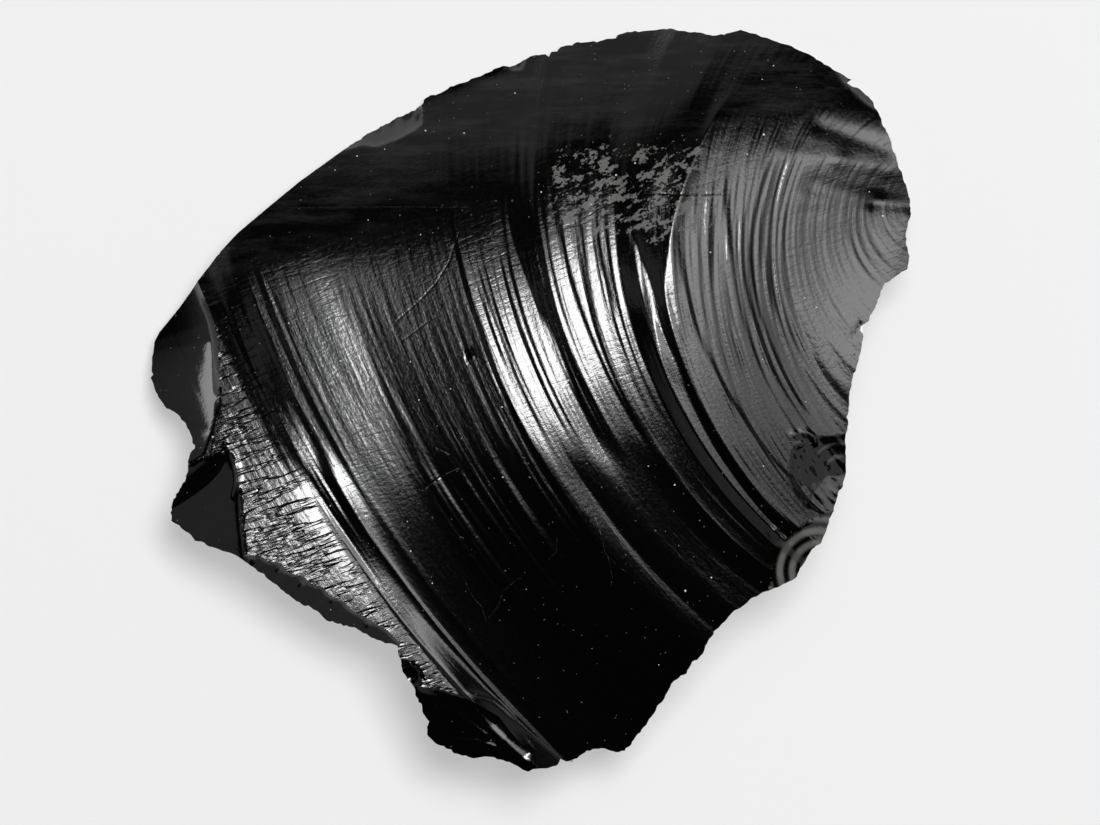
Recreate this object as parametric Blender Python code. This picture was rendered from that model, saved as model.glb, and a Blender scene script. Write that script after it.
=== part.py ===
# Obsidian chunk: one piece of black volcanic glass, about 106 x 104 x 20 mm.
#
# It is a thick flake.  Its upper side is one broad conchoidal fracture: the crack
# started at the strike point on the right-hand rim and ran towards the left,
# leaving curved ripples and ledges that mark where its front once stood.
# Small later chips bite into the rim, and the underside is a flat
# old break with steep scooped flanks rising from it to the sharp rim.
import bpy
import bmesh
import numpy as np
from mathutils import Vector
from mathutils.geometry import delaunay_2d_cdt

for old in list(bpy.data.objects):
    bpy.data.objects.remove(old, do_unlink=True)

# ------------------------------------------------------------------ sizes, mm
MM = 0.001                      # every length below is in millimetres
STRIKE = (52.4, 25.9)           # where the blow landed, on the right-hand rim
TRAVEL_ANGLE = 200.0            # heading of the crack, degrees from +X
STRIKE_HEIGHT = 13.6            # height of the upper side at the strike point
RIM_STEP = 2.1                  # longest straight run along the rim
ARC_STEP = 2.3                  # mesh step along a crack front
FRONT_GAP = 2.2                 # widest gap between two mesh fronts
UNDER_STEP = 3.2                # mesh step on the underside

# The rim seen from above, clockwise from the left-hand tip.
OUTLINE = [
    (-53.0, 2.3), (-52.6, 7.4), (-51.9, 8.8), (-49.1, 12.1), (-43.5, 19.5), (-40.7, 22.5),
    (-32.3, 29.8), (-23.9, 36.2), (-21.1, 38.0), (-15.2, 41.0), (-15.0, 41.7), (-14.1, 42.4),
    (-12.7, 42.7), (-11.3, 43.5), (-4.3, 46.4), (-2.2, 46.7), (-0.1, 47.9), (3.7, 48.4),
    (4.2, 49.1), (5.7, 49.6), (9.7, 50.0), (11.8, 50.5), (12.8, 51.1), (14.6, 51.3),
    (19.5, 51.5), (25.8, 50.1), (29.3, 51.0), (35.6, 48.9), (38.0, 47.8), (44.8, 43.9),
    (44.1, 43.3), (46.2, 42.3), (47.7, 40.9), (48.9, 37.7), (49.9, 35.6), (51.3, 30.9),
    (52.2, 28.8), (52.7, 26.7), (52.8, 24.3), (52.2, 22.1), (52.1, 20.7), (52.6, 18.6),
    (52.2, 16.7), (51.0, 16.1), (48.9, 14.3), (47.3, 10.3), (46.2, 8.8), (45.4, 4.2),
    (44.5, 1.5), (44.0, -1.1), (43.6, -6.0), (43.3, -7.5), (43.5, -10.5), (43.3, -13.0),
    (42.4, -14.8), (40.5, -20.5), (39.9, -21.7), (38.6, -22.6), (36.6, -26.3), (35.6, -27.1),
    (30.7, -29.1), (29.4, -30.0), (26.6, -32.6), (25.3, -34.0), (24.2, -35.6), (23.7, -37.0),
    (22.3, -38.2), (21.4, -39.6), (19.7, -40.7), (18.1, -43.4), (14.1, -48.9), (12.6, -50.3),
    (9.7, -49.8), (7.8, -50.2), (5.7, -51.6), (4.2, -51.5), (3.5, -52.2), (2.7, -52.5),
    (0.7, -52.8), (-0.3, -53.1), (-1.5, -52.7), (-2.1, -52.2), (-2.9, -51.8), (-6.2, -51.1),
    (-7.8, -51.3), (-10.5, -50.6), (-11.3, -50.0), (-12.6, -49.5), (-13.9, -48.6),
    (-14.2, -47.7), (-14.2, -46.3), (-15.2, -43.5), (-15.8, -42.9), (-15.8, -41.9),
    (-17.6, -39.5), (-18.3, -35.9), (-21.1, -35.0), (-24.6, -33.3), (-28.1, -32.3),
    (-29.5, -30.9), (-32.3, -29.6), (-37.9, -25.1), (-40.7, -23.3), (-46.3, -21.1),
    (-49.6, -18.2), (-49.8, -17.1), (-49.3, -14.9), (-47.7, -12.4), (-47.2, -9.2),
    (-46.6, -7.8), (-46.9, -6.6), (-47.9, -4.5), (-48.9, -3.3), (-50.5, -2.2), (-51.9, -0.6)]

# Each crack front is an arc of a circle.  Its centre drifts away from the strike
# point as the crack runs on, so the arcs open out and turn a little.
FRONT_AT = [0.0, 8.7, 16.8, 21.0, 28.0, 33.6, 37.8, 42.0, 51.1, 61.6, 70.0, 78.4, 89.6, 98.0, 106.4]
CENTRE_X = [54.6, 56.2, 62.2, 71.3, 81.1, 77.6, 74.8, 73.8, 75.0, 87.1, 95.6, 104.2, 116.2, 125.9, 135.7]
CENTRE_Y = [26.8, 23.6, 20.2, 18.8, 20.0, 21.2, 22.6, 25.7, 31.0, 39.4, 48.0, 57.9, 71.6, 82.0, 92.3]

# Ripples and ledges met on the way from the strike point: (from mm, slope).
# A positive slope climbs in the direction the crack ran.
CLIMB, SOFT, LEVEL, EASY, DROP, STEEP = 0.20, 0.08, 0.03, -0.08, -0.13, -0.26
LEDGES = [
    (0.0, CLIMB), (21.3, STEEP), (22.1, CLIMB), (22.7, STEEP), (23.5, CLIMB), (24.1, STEEP),
    (24.9, CLIMB), (29.3, DROP), (29.8, CLIMB), (33.0, STEEP), (34.0, EASY), (37.4, DROP),
    (37.8, LEVEL), (38.4, STEEP), (42.0, LEVEL), (42.6, DROP), (43.0, LEVEL), (45.4, STEEP),
    (46.3, LEVEL), (48.0, STEEP), (48.6, LEVEL), (50.8, DROP), (53.1, LEVEL), (55.4, SOFT),
    (56.8, LEVEL), (59.4, DROP), (60.9, LEVEL), (61.6, STEEP), (62.2, DROP), (70.4, SOFT),
    (70.8, DROP), (74.5, SOFT), (75.6, DROP), (76.9, LEVEL), (77.3, DROP), (77.8, SOFT),
    (86.4, STEEP), (86.8, SOFT), (87.6, STEEP), (88.2, SOFT), (88.8, STEEP), (89.5, SOFT),
    (92.0, STEEP), (94.2, LEVEL)]

# Bow across the fronts: slope at the middle line and how fast it turns over, 1/mm.
BOW_AT = [0.0, 28.0, 42.0, 54.0, 66.0, 80.0, 90.0, 96.0, 110.0]
BOW_SLOPE = [0.10, 0.14, 0.18, 0.19, 0.18, 0.18, 0.20, 0.23, 0.23]
BOW_TURN = [0.0060, 0.0070, 0.0080, 0.0076, 0.0071, 0.0064, 0.0053, 0.0046, 0.0045]

# Beyond this line the far side rolls down to the thin feather edge.
ROLL_X = [-45.0, -39.0, -25.0, -11.0, 4.0, 24.0, 42.0, 52.0]
ROLL_Y = [14.0, 18.9, 23.4, 29.0, 34.0, 36.0, 34.6, 33.0]
ROLL_SLOPE, ROLL_SOFT = 0.16, 2.5
EDGE_HEIGHT = 1.3               # the rim never comes lower than this


def smooth(values, count):
    """Running mean with soft ends over an odd number of samples."""
    w = np.hanning(count + 2)[1:-1]
    return np.convolve(np.pad(values, count // 2, mode="edge"), w / w.sum(), mode="valid")


TABLE = np.arange(-8.0, 122.0, 0.07)
HEADING = np.array([np.cos(np.radians(TRAVEL_ANGLE)), np.sin(np.radians(TRAVEL_ANGLE))])
TAB_X = smooth(np.interp(TABLE, FRONT_AT, CENTRE_X), 41)
TAB_Y = smooth(np.interp(TABLE, FRONT_AT, CENTRE_Y), 41)
slopes = np.full(TABLE.shape, CLIMB)
for begin, slope in LEDGES:
    slopes[TABLE >= begin] = slope
PROFILE = np.cumsum(smooth(slopes, 7)) * 0.07
PROFILE += STRIKE_HEIGHT - np.interp(0.0, TABLE, PROFILE)
TAB_BOW = smooth(np.interp(TABLE, BOW_AT, BOW_SLOPE), 61)
TAB_TURN = smooth(np.interp(TABLE, BOW_AT, BOW_TURN), 61)


def front_circle(d):
    """Centre and radius of the crack front that has run d millimetres."""
    cx, cy = np.interp(d, TABLE, TAB_X), np.interp(d, TABLE, TAB_Y)
    r = np.hypot(STRIKE[0] + d * HEADING[0] - cx, STRIKE[1] + d * HEADING[1] - cy)
    return cx, cy, r


def crack_coordinates(x, y):
    """How far the crack had run at a point, and the distance along its front."""
    low, high = np.full(x.shape, -5.0), np.full(x.shape, 118.0)
    for _ in range(26):
        mid = (low + high) / 2
        cx, cy, r = front_circle(mid)
        passed = np.hypot(x - cx, y - cy) < r
        high, low = np.where(passed, mid, high), np.where(passed, low, mid)
    d = (low + high) / 2
    cx, cy, r = front_circle(d)
    start = np.arctan2(STRIKE[1] + d * HEADING[1] - cy, STRIKE[0] + d * HEADING[0] - cx)
    turn = np.arctan2(y - cy, x - cx) - start
    return d, ((turn + np.pi) % (2 * np.pi) - np.pi) * r


def line_distance(x, y, line, closed=False):
    """Distance from points to a run of straight segments."""
    best = np.full(x.shape, 1e9)
    ends = line[1:] + line[:1] if closed else line[1:]
    for (ax, ay), (bx, by) in zip(line, ends):
        dx, dy = bx - ax, by - ay
        t = np.clip(((x - ax) * dx + (y - ay) * dy) / (dx * dx + dy * dy), 0, 1)
        best = np.minimum(best, np.hypot(x - ax - t * dx, y - ay - t * dy))
    return best


def inside(x, y, ring):
    """True where a point lies inside a closed ring."""
    hit = np.zeros(x.shape, bool)
    for (ax, ay), (bx, by) in zip(ring, ring[1:] + ring[:1]):
        if ay != by:
            hit ^= ((ay > y) != (by > y)) & (x < (bx - ax) * (y - ay) / (by - ay) + ax)
    return hit


# ------------------------------------------------------------ chips on the rim
# Each chip is cut from the upper side between its crease and the rim:
# (crease, way out, drop near the crease, over this reach, further slope,
#  point its own ripples spread from, ripple spacing, ripple slope)
CHIPS = [
    # long scoop down the left-hand end
    ([(-46.8, 16.4), (-45.4, 13.1), (-44.2, 10.2), (-43.5, 7.3), (-43.3, 4.4), (-43.1, -1.3),
      (-42.8, -5.7), (-43.4, -10.2), (-48.0, -13.3)],
     (-1.0, 0.0), 1.9, 2.6, 0.10, (-50.0, 18.0), 5.2, 0.05),
    # facet below it
    ([(-43.6, -9.0), (-41.4, -8.8), (-40.5, -11.4), (-39.9, -15.7), (-39.6, -20.0), (-39.0, -24.6)],
     (-0.9, -0.4), 0.5, 0.8, 0.42, (-38.0, -6.0), 4.0, 0.04),
    # shallow flake off the thin edge
    ([(-27.3, 33.9), (-25.3, 34.5), (-23.7, 35.0), (-21.4, 34.7), (-18.3, 35.9), (-16.2, 37.1),
      (-15.1, 38.1), (-15.0, 40.4), (-15.4, 42.2)],
     (-0.57, 0.82), 0.5, 0.9, 0.20, (-13.0, 38.0), 1.9, 0.12),
    # broad chip at the foot
    ([(-15.6, -41.5), (-12.7, -41.8), (-9.9, -42.6), (-7.1, -44.0), (-4.3, -45.6), (-2.7, -47.8),
      (-0.1, -50.6), (1.3, -53.6)],
     (-0.6, -0.8), 1.8, 2.2, 0.25, (-19.0, -37.0), 2.1, 0.22),
    # two round bites on the lower right
    ([(44.6, -6.6), (38.8, -7.2), (36.3, -8.6), (35.6, -11.4), (36.0, -14.5), (37.7, -16.9), (42.6, -18.6)],
     (1.0, 0.0), 1.5, 1.6, 0.12, (42.6, -11.6), 1.7, 0.16),
    ([(42.4, -17.0), (38.4, -18.7), (36.3, -20.1), (34.6, -22.2), (33.5, -24.3), (33.0, -26.3), (32.6, -29.8)],
     (0.8, -0.6), 1.6, 1.5, 0.20, (39.8, -25.6), 1.5, 0.22),
    # nibbled strip along the lower-left rim
    ([(-40.4, -24.6), (-37.7, -24.3), (-35.8, -25.4), (-33.7, -26.7), (-32.3, -27.4), (-30.7, -28.6),
      (-28.8, -29.7), (-26.7, -30.7), (-25.3, -31.7), (-23.2, -32.9), (-20.4, -34.0), (-17.6, -36.4)],
     (-0.5, -0.86), 0.5, 0.4, 1.1, None, 0.0, 0.0),
    # thin glassy flakes at the left-hand tip
    ([(-48.6, 13.4), (-49.8, 8.1), (-50.3, 5.9), (-50.8, 3.6), (-51.9, 1.9), (-53.6, 0.6)],
     (-1.0, 0.1), 0.3, 0.5, 0.60, None, 0.0, 0.0),
    ([(-50.6, -16.4), (-48.3, -16.8), (-46.9, -18.5), (-45.6, -22.4)],
     (-0.6, -0.8), 0.3, 0.5, 0.55, None, 0.0, 0.0),
    # small ones on the far rim
    ([(41.6, 46.6), (43.3, 43.7), (44.9, 42.0), (46.6, 40.3), (49.2, 38.6)],
     (0.7, 0.7), 0.3, 0.5, 0.45, None, 0.0, 0.0),
    ([(-4.6, 47.0), (-2.9, 45.8), (-1.3, 45.8), (0.1, 48.6)],
     (-0.3, 1.0), 0.15, 0.4, 0.30, None, 0.0, 0.0)]
BITE_CENTRE, BITE_RADIUS, BITE_DEPTH = (-16.7, -40.2), 1.9, 0.9    # round nick near the foot


def chip_ring(crease, out, reach=12.0):
    """The crease closed by a loop outside the rim."""
    (ax, ay), (bx, by) = crease[0], crease[-1]
    return crease + [(bx + reach * out[0], by + reach * out[1]), (ax + reach * out[0], ay + reach * out[1])]


def chip_depth(x, y):
    """How far the chips lie below the main fracture at each point."""
    depth = np.zeros(x.shape)
    for crease, out, drop, reach, slope, spread, spacing, steep in CHIPS:
        hit = inside(x, y, chip_ring(crease, out))
        if not hit.any():
            continue
        px, py = x[hit], y[hit]
        away = line_distance(px, py, crease)
        cut = drop * (1 - np.exp(-away / reach)) + slope * away
        if spread is not None:
            ring = np.hypot(px - spread[0], py - spread[1])
            swell = steep * spacing / (2 * np.pi) * np.sin(2 * np.pi * ring / spacing)
            cut += swell * np.clip(away / 0.8, 0, 1)
        depth[hit] = np.maximum(depth[hit], np.maximum(cut, 0.02 * away))
    bowl = np.hypot(x - BITE_CENTRE[0], y - BITE_CENTRE[1]) / BITE_RADIUS
    return np.maximum(depth, BITE_DEPTH * np.clip(1 - bowl ** 2, 0, None))


def upper(x, y):
    """Height of the upper side in mm."""
    d, s = crack_coordinates(x, y)
    z = np.interp(d, TABLE, PROFILE) + np.interp(d, TABLE, TAB_BOW) * s
    z -= np.interp(d, TABLE, TAB_TURN) * s * s / 2
    beyond = (y - np.interp(x, ROLL_X, ROLL_Y)) / ROLL_SOFT
    z -= ROLL_SLOPE * ROLL_SOFT * np.logaddexp(0.0, beyond)
    z = EDGE_HEIGHT + np.logaddexp(0.0, 0.9 * (z - EDGE_HEIGHT)) / 0.9
    return np.maximum(z - chip_depth(x, y), 0.55 * EDGE_HEIGHT)


# ------------------------------------------------------------------- underside
# It rests on one flat old break.  Later flakes struck off the underside left round
# scoops that cut into that break and climb to the rim:
# (centre x, centre y, radius of the scoop's inner edge, climb, hollow)
SCOOPS = [
    (-85.0, 2.0, 52.0, 0.52, 0.7), (-62.0, -62.0, 62.0, 0.84, 1.1), (-30.0, -85.0, 52.0, 1.20, 0.9),
    (8.0, -100.0, 64.0, 0.92, 1.2), (60.0, -62.0, 58.0, 1.08, 1.0), (92.0, -15.0, 63.0, 1.05, 1.2),
    (95.0, 28.0, 60.0, 0.72, 0.9), (75.0, 70.0, 52.0, 0.62, 0.6), (-80.0, 50.0, 58.0, 0.32, 0.3),
    (10.0, 130.0, 92.0, 0.05, 0.0)]
SCOOP_SPAN = 15.0               # how far a scoop runs before it meets the rim
SCOOP_RIPPLE, SCOOP_WAVE = 0.10, 3.4    # height and spacing of the ripples in it


def under(x, y, top, rim_gap):
    """Height of the underside: flat base, ripple-marked scoops, thin at the rim."""
    z = np.zeros(x.shape)
    for cx, cy, radius, climb, hollow in SCOOPS:
        out = radius - np.hypot(x - cx, y - cy)
        rise = climb * out + hollow * np.sin(np.pi * np.clip(out / SCOOP_SPAN, 0, 1))
        rise += SCOOP_RIPPLE * np.sin(2 * np.pi * out / SCOOP_WAVE) * np.clip(out / 3, 0, 1) * min(1, 2 * climb)
        z = np.maximum(z, np.where(out > 0, rise, 0))
    return np.minimum(z, np.maximum(top - 0.65 * rim_gap, 0.0))


# ---------------------------------------------------------------- mesh
def split_line(line, step, closed=False):
    """Cut straight runs so none is longer than the step."""
    ends = line[1:] + line[:1] if closed else line[1:]
    made = []
    for a, b in zip(line, ends):
        count = max(1, int(np.ceil(np.hypot(b[0] - a[0], b[1] - a[1]) / step)))
        for k in range(count):
            t = k / count
            made.append((a[0] + t * (b[0] - a[0]), a[1] + t * (b[1] - a[1])))
    return made if closed else made + [line[-1]]


class Sprinkler:
    """Collects mesh points that keep a least distance from one another."""

    def __init__(self, gap):
        self.gap, self.cells, self.points = gap, {}, []

    def add(self, x, y, gap=None):
        gap = gap or self.gap
        i, j = int(np.floor(x / self.gap)), int(np.floor(y / self.gap))
        reach = int(np.ceil(gap / self.gap))
        for p in range(i - reach, i + reach + 1):
            for q in range(j - reach, j + reach + 1):
                for k in self.cells.get((p, q), ()):
                    if (self.points[k][0] - x) ** 2 + (self.points[k][1] - y) ** 2 < gap * gap:
                        return -1
        self.points.append((x, y))
        self.cells.setdefault((i, j), []).append(len(self.points) - 1)
        return len(self.points) - 1


def triangulate(points, edges, rim_count):
    """Fill the rim loop with triangles through the points and along the edges."""
    rim_face = [list(range(rim_count))[::-1]]
    spots, _, tris, sources, _, owners = delaunay_2d_cdt(
        [Vector(p) for p in points], edges, rim_face, 0, 1e-5, True)
    tris = [tri for tri, owner in zip(tris, owners) if owner]
    # Rim points come first and in rim order, so both sides share them.
    place, free = {}, rim_count
    for k, source in enumerate(sources):
        on_rim = [i for i in source if i < rim_count]
        place[k] = on_rim[0] if on_rim else free
        free += not on_rim
    made = np.zeros((free, 2))
    for k, spot in enumerate(spots):
        made[place[k]] = points[place[k]] if place[k] < rim_count else tuple(spot)
    return made, [tuple(place[i] for i in tri) for tri in tris]


def front_lines():
    """Travel distances at which the mesh follows a crack front."""
    marks = [0.9] + [b for b, _ in LEDGES if b > 2.0] + [118.0]
    made = [1.2]
    for b in marks:
        gap = b - made[-1]
        if gap < 0.38:
            continue
        extra = int(gap // FRONT_GAP)
        for k in range(1, extra + 1):
            made.append(made[-1] + (b - made[-1]) / (extra + 2 - k))
        made.append(b)
    return made


rim = split_line(OUTLINE, RIM_STEP, closed=True)
RIM_COUNT = len(rim)

# Upper side: points on creases first, then on the crack fronts.
cloud = Sprinkler(0.45)
edges = []
for x, y in rim:
    cloud.add(x, y, 0.02)


def add_chain(line, gap):
    """Lay points along a line and tie neighbours together."""
    last = -1
    for x, y in line:
        k = cloud.add(x, y, gap)
        if k >= 0 and last >= 0:
            edges.append((last, k))
        last = k


for chip in CHIPS:
    line = np.array(split_line(chip[0], 1.6))
    keep = inside(line[:, 0], line[:, 1], OUTLINE)
    keep &= line_distance(line[:, 0], line[:, 1], OUTLINE, True) > 0.45
    add_chain([tuple(p) for p, k in zip(line, keep) if k], 0.45)
for chip in CHIPS:
    crease, out = chip[0], chip[1]
    ring = chip_ring(crease, out)
    xs, ys = np.array([c[0] for c in ring]), np.array([c[1] for c in ring])
    gx, gy = np.meshgrid(np.arange(xs.min(), xs.max(), 1.1), np.arange(ys.min(), ys.max(), 1.1))
    gx[::2] += 0.55
    gx, gy = gx.ravel(), gy.ravel()
    keep = inside(gx, gy, ring) & inside(gx, gy, OUTLINE)
    gx, gy = gx[keep], gy[keep]
    keep = (line_distance(gx, gy, OUTLINE, True) > 0.5) & (line_distance(gx, gy, crease) > 0.45)
    for x, y in zip(gx[keep], gy[keep]):
        cloud.add(float(x), float(y), 0.8)
for turn in np.arange(0, 360, 30):
    for r in (1.0, 1.9):
        x = BITE_CENTRE[0] + r * np.cos(np.radians(turn))
        y = BITE_CENTRE[1] + r * np.sin(np.radians(turn))
        here = np.array([x]), np.array([y])
        if inside(*here, OUTLINE)[0] and line_distance(*here, OUTLINE, True)[0] > 0.3:
            cloud.add(x, y, 0.4)

for number, d in enumerate(front_lines()):
    cx, cy, r = front_circle(d)
    start = np.arctan2(STRIKE[1] + d * HEADING[1] - cy, STRIKE[0] + d * HEADING[0] - cx)
    half = min(75.0 / r, 2.6)
    count = max(3, int(2 * half * r / ARC_STEP))
    turn = start + np.linspace(-half, half, count) + (number % 2) * half / count
    x, y = cx + r * np.cos(turn), cy + r * np.sin(turn)
    keep = inside(x, y, OUTLINE)
    keep &= line_distance(x, y, OUTLINE, True) > 0.7
    own, _ = crack_coordinates(x, y)
    keep &= np.abs(own - d) < 0.05
    for chip in CHIPS:
        keep &= ~inside(x, y, chip_ring(chip[0], chip[1]))
        keep &= line_distance(x, y, chip[0]) > 0.6
    keep &= np.hypot(x - BITE_CENTRE[0], y - BITE_CENTRE[1]) > BITE_RADIUS + 0.3
    last, last_at = -1, -9
    for k in np.nonzero(keep)[0]:
        here = cloud.add(float(x[k]), float(y[k]), 0.36)
        if here >= 0 and last >= 0 and k == last_at + 1:
            edges.append((last, here))
        last, last_at = here, k

plan, top_faces = triangulate(cloud.points, edges, RIM_COUNT)
print("upper side: %d points, %d triangles" % (len(plan), len(top_faces)))
top_z = upper(plan[:, 0], plan[:, 1])

# Underside: edge of the base, rings inside the rim, then a net of points.
below = Sprinkler(0.6)
for x, y in rim:
    below.add(x, y, 0.02)
ties = []
for number, (cx, cy, radius, climb, hollow) in enumerate(SCOOPS):
    for out in (0.0, 1.7, 3.4, 5.1, 6.8, 8.5, 10.2, 11.9):
        turn = np.arange(0, 2 * np.pi, UNDER_STEP / (radius - out))
        x, y = cx + (radius - out) * np.cos(turn), cy + (radius - out) * np.sin(turn)
        keep = inside(x, y, OUTLINE)
        keep &= line_distance(x, y, OUTLINE, True) > 1.2
        for k, (ox, oy, other, slope, _) in enumerate(SCOOPS):
            if k != number:
                keep &= slope * (other - np.hypot(x - ox, y - oy)) < climb * out + 0.02
        last, last_at = -1, -9
        for k in np.nonzero(keep)[0]:
            here = below.add(float(x[k]), float(y[k]), 1.1)
            if here >= 0 and last >= 0 and k == last_at + 1:
                ties.append((last, here))
            last, last_at = here, k
ring = np.array(rim)
ahead, behind = np.roll(ring, -1, axis=0), np.roll(ring, 1, axis=0)
normal = np.stack([(ahead - behind)[:, 1], -(ahead - behind)[:, 0]], axis=1)
normal /= np.linalg.norm(normal, axis=1)[:, None]
for depth, every in ((0.8, 1), (2.2, 2)):
    inner = (ring + normal * depth)[::every]
    far = line_distance(inner[:, 0], inner[:, 1], OUTLINE, True)
    ok = inside(inner[:, 0], inner[:, 1], OUTLINE) & (far > 0.85 * depth)
    for x, y in inner[ok]:
        below.add(float(x), float(y), 0.75 * depth)
gx, gy = np.meshgrid(np.arange(-54, 54, UNDER_STEP), np.arange(-54, 54, UNDER_STEP * 0.87))
gx[::2] += UNDER_STEP / 2
gx, gy = gx.ravel(), gy.ravel()
keep = inside(gx, gy, OUTLINE)
gx, gy = gx[keep], gy[keep]
keep = line_distance(gx, gy, OUTLINE, True) > 2.4
for x, y in zip(gx[keep], gy[keep]):
    below.add(float(x), float(y), 1.6)
flat, low_faces = triangulate(below.points, ties, RIM_COUNT)
gap = line_distance(flat[:, 0], flat[:, 1], OUTLINE, True)
low_z = under(flat[:, 0], flat[:, 1], upper(flat[:, 0], flat[:, 1]), gap)
print("underside: %d points, %d triangles" % (len(flat), len(low_faces)))

# Join the two sides along the shared rim; the second rim copy is dropped.
points = np.column_stack([plan, top_z])
lower = np.column_stack([flat[RIM_COUNT:], low_z[RIM_COUNT:]])
shift = len(points) - RIM_COUNT
faces = list(top_faces)
for f in low_faces:
    faces.append(tuple(k if k < RIM_COUNT else k + shift for k in reversed(f)))
points = np.vstack([points, lower])

# Centre of the outline's box at the origin, base on the ground.
middle = (points.min(axis=0) + points.max(axis=0)) / 2
points -= np.array([middle[0], middle[1], 0.0])
print("size mm:", np.round(points.max(axis=0) - points.min(axis=0), 2), "shift", np.round(middle, 3))

mesh = bpy.data.meshes.new("obsidian_chunk")
mesh.from_pydata((points * MM).tolist(), [], faces)
mesh.update()
check = bmesh.new()
check.from_mesh(mesh)
bmesh.ops.recalc_face_normals(check, faces=check.faces)
print("open edges:", sum(1 for e in check.edges if not e.is_manifold),
      "volume cm3: %.2f" % (check.calc_volume(signed=True) * 1e6), "triangles:", len(check.faces))
check.to_mesh(mesh)
check.free()
for polygon in mesh.polygons:
    polygon.use_smooth = True
mesh.set_sharp_from_angle(angle=np.radians(24))

obsidian = bpy.data.materials.new("obsidian")
obsidian.use_nodes = True
shader = obsidian.node_tree.nodes["Principled BSDF"]
shader.inputs["Base Color"].default_value = (0.006, 0.006, 0.0065, 1.0)
shader.inputs["Roughness"].default_value = 0.16
shader.inputs["IOR"].default_value = 1.49
mesh.materials.append(obsidian)

chunk = bpy.data.objects.new("obsidian_chunk", mesh)
bpy.context.scene.collection.objects.link(chunk)
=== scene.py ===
# %% [markdown]
# # An obsidian chunk
#
# Obsidian is lava that cooled so fast that it froze as glass.  It has no grain and no
# cleavage, so a blow makes it break the way a bottle does: the crack sweeps out from the
# strike point as a curved front, and every shiver of that front stays in the surface as a
# ripple.  This piece is one thick flake, 106 mm across, with one such face on top.
#
# The lesson builds that face from what made it: where the blow fell, how the crack front
# opened out, and how its tilt changed along the way.

# %% Load the frame
import math

import bpy
import numpy as np
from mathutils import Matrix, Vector
from mathutils.geometry import delaunay_2d_cdt


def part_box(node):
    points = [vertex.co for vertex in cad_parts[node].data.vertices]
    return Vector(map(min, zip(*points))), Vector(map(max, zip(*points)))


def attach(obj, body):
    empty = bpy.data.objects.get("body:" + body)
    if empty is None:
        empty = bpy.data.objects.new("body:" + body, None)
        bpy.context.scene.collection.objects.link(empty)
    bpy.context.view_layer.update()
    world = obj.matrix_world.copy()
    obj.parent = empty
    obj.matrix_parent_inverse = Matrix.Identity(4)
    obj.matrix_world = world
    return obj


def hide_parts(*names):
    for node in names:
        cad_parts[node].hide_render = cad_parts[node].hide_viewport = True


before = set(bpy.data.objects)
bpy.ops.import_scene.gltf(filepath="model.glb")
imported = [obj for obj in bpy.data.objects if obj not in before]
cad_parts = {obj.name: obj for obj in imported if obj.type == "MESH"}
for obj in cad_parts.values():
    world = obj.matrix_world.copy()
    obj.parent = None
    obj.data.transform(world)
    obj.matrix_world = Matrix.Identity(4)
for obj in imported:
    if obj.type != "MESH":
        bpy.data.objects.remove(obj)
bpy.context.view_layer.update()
low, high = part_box("obsidian_chunk")
print("solid, mm:", [round((b - a) * 1000, 1) for a, b in zip(low, high)])

# %% [markdown]
# ## Where the blow fell and how the crack ran
#
# Lengths are millimetres until the mesh is made.  Each crack front is an arc of a circle.
# A crack that starts at one point should give circles round that point, but as it runs on
# it flattens out, so the centre of the arc falls back behind the strike point.  A short
# list of centres says how, and everything else reads it.

# %% The crack fronts
MM = 0.001                       # the mesh is made in metres
STRIKE = (52.4, 25.9)            # where the blow landed, on the right-hand rim
STRIKE_HEIGHT = 10.0             # height that the tilts are added up from
TRAVEL_ANGLE = 200.0             # heading of the crack, degrees from +X
# run at which each centre holds, and the centres
FRONT_AT = [0.0, 8.7, 16.8, 21.0, 28.0, 33.6, 37.8, 42.0, 51.1, 61.6, 70.0, 78.4, 89.6, 98.0, 106.4]
CENTRE_X = [54.6, 56.2, 62.2, 71.3, 81.1, 77.6, 74.8, 73.8, 75.0, 87.1, 95.6, 104.2, 116.2, 125.9, 135.7]
CENTRE_Y = [26.8, 23.6, 20.2, 18.8, 20.0, 21.2, 22.6, 25.7, 31.0, 39.4, 48.0, 57.9, 71.6, 82.0, 92.3]
CENTRE_SOFT = 2.9                # the centres' drift is smoothed over this run
STEP = 0.035                     # spacing of every table kept along the run
TABLE = np.arange(-8.0, 122.0, STEP)
FIRST_RUN, LAST_RUN, HALVINGS = -5.0, 118.0, 28      # a point's run is sought between these
HEADING = np.array([math.cos(math.radians(TRAVEL_ANGLE)), math.sin(math.radians(TRAVEL_ANGLE))])


def smooth(values, width):
    """Running mean with soft ends over a width in millimetres."""
    count = 2 * max(1, int(width / STEP / 2)) + 1
    w = np.hanning(count + 2)[1:-1]
    return np.convolve(np.pad(values, count // 2, mode="edge"), w / w.sum(), mode="valid")


TAB_X = smooth(np.interp(TABLE, FRONT_AT, CENTRE_X), CENTRE_SOFT)
TAB_Y = smooth(np.interp(TABLE, FRONT_AT, CENTRE_Y), CENTRE_SOFT)


def front_circle(d):
    """Centre and radius of the crack front that has run d millimetres."""
    cx, cy = np.interp(d, TABLE, TAB_X), np.interp(d, TABLE, TAB_Y)
    r = np.hypot(STRIKE[0] + d * HEADING[0] - cx, STRIKE[1] + d * HEADING[1] - cy)
    return cx, cy, r


def front_start(d, cx, cy):
    """Direction from a front's centre to the straight line that runs on from the strike point."""
    return np.arctan2(STRIKE[1] + d * HEADING[1] - cy, STRIKE[0] + d * HEADING[0] - cx)


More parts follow.
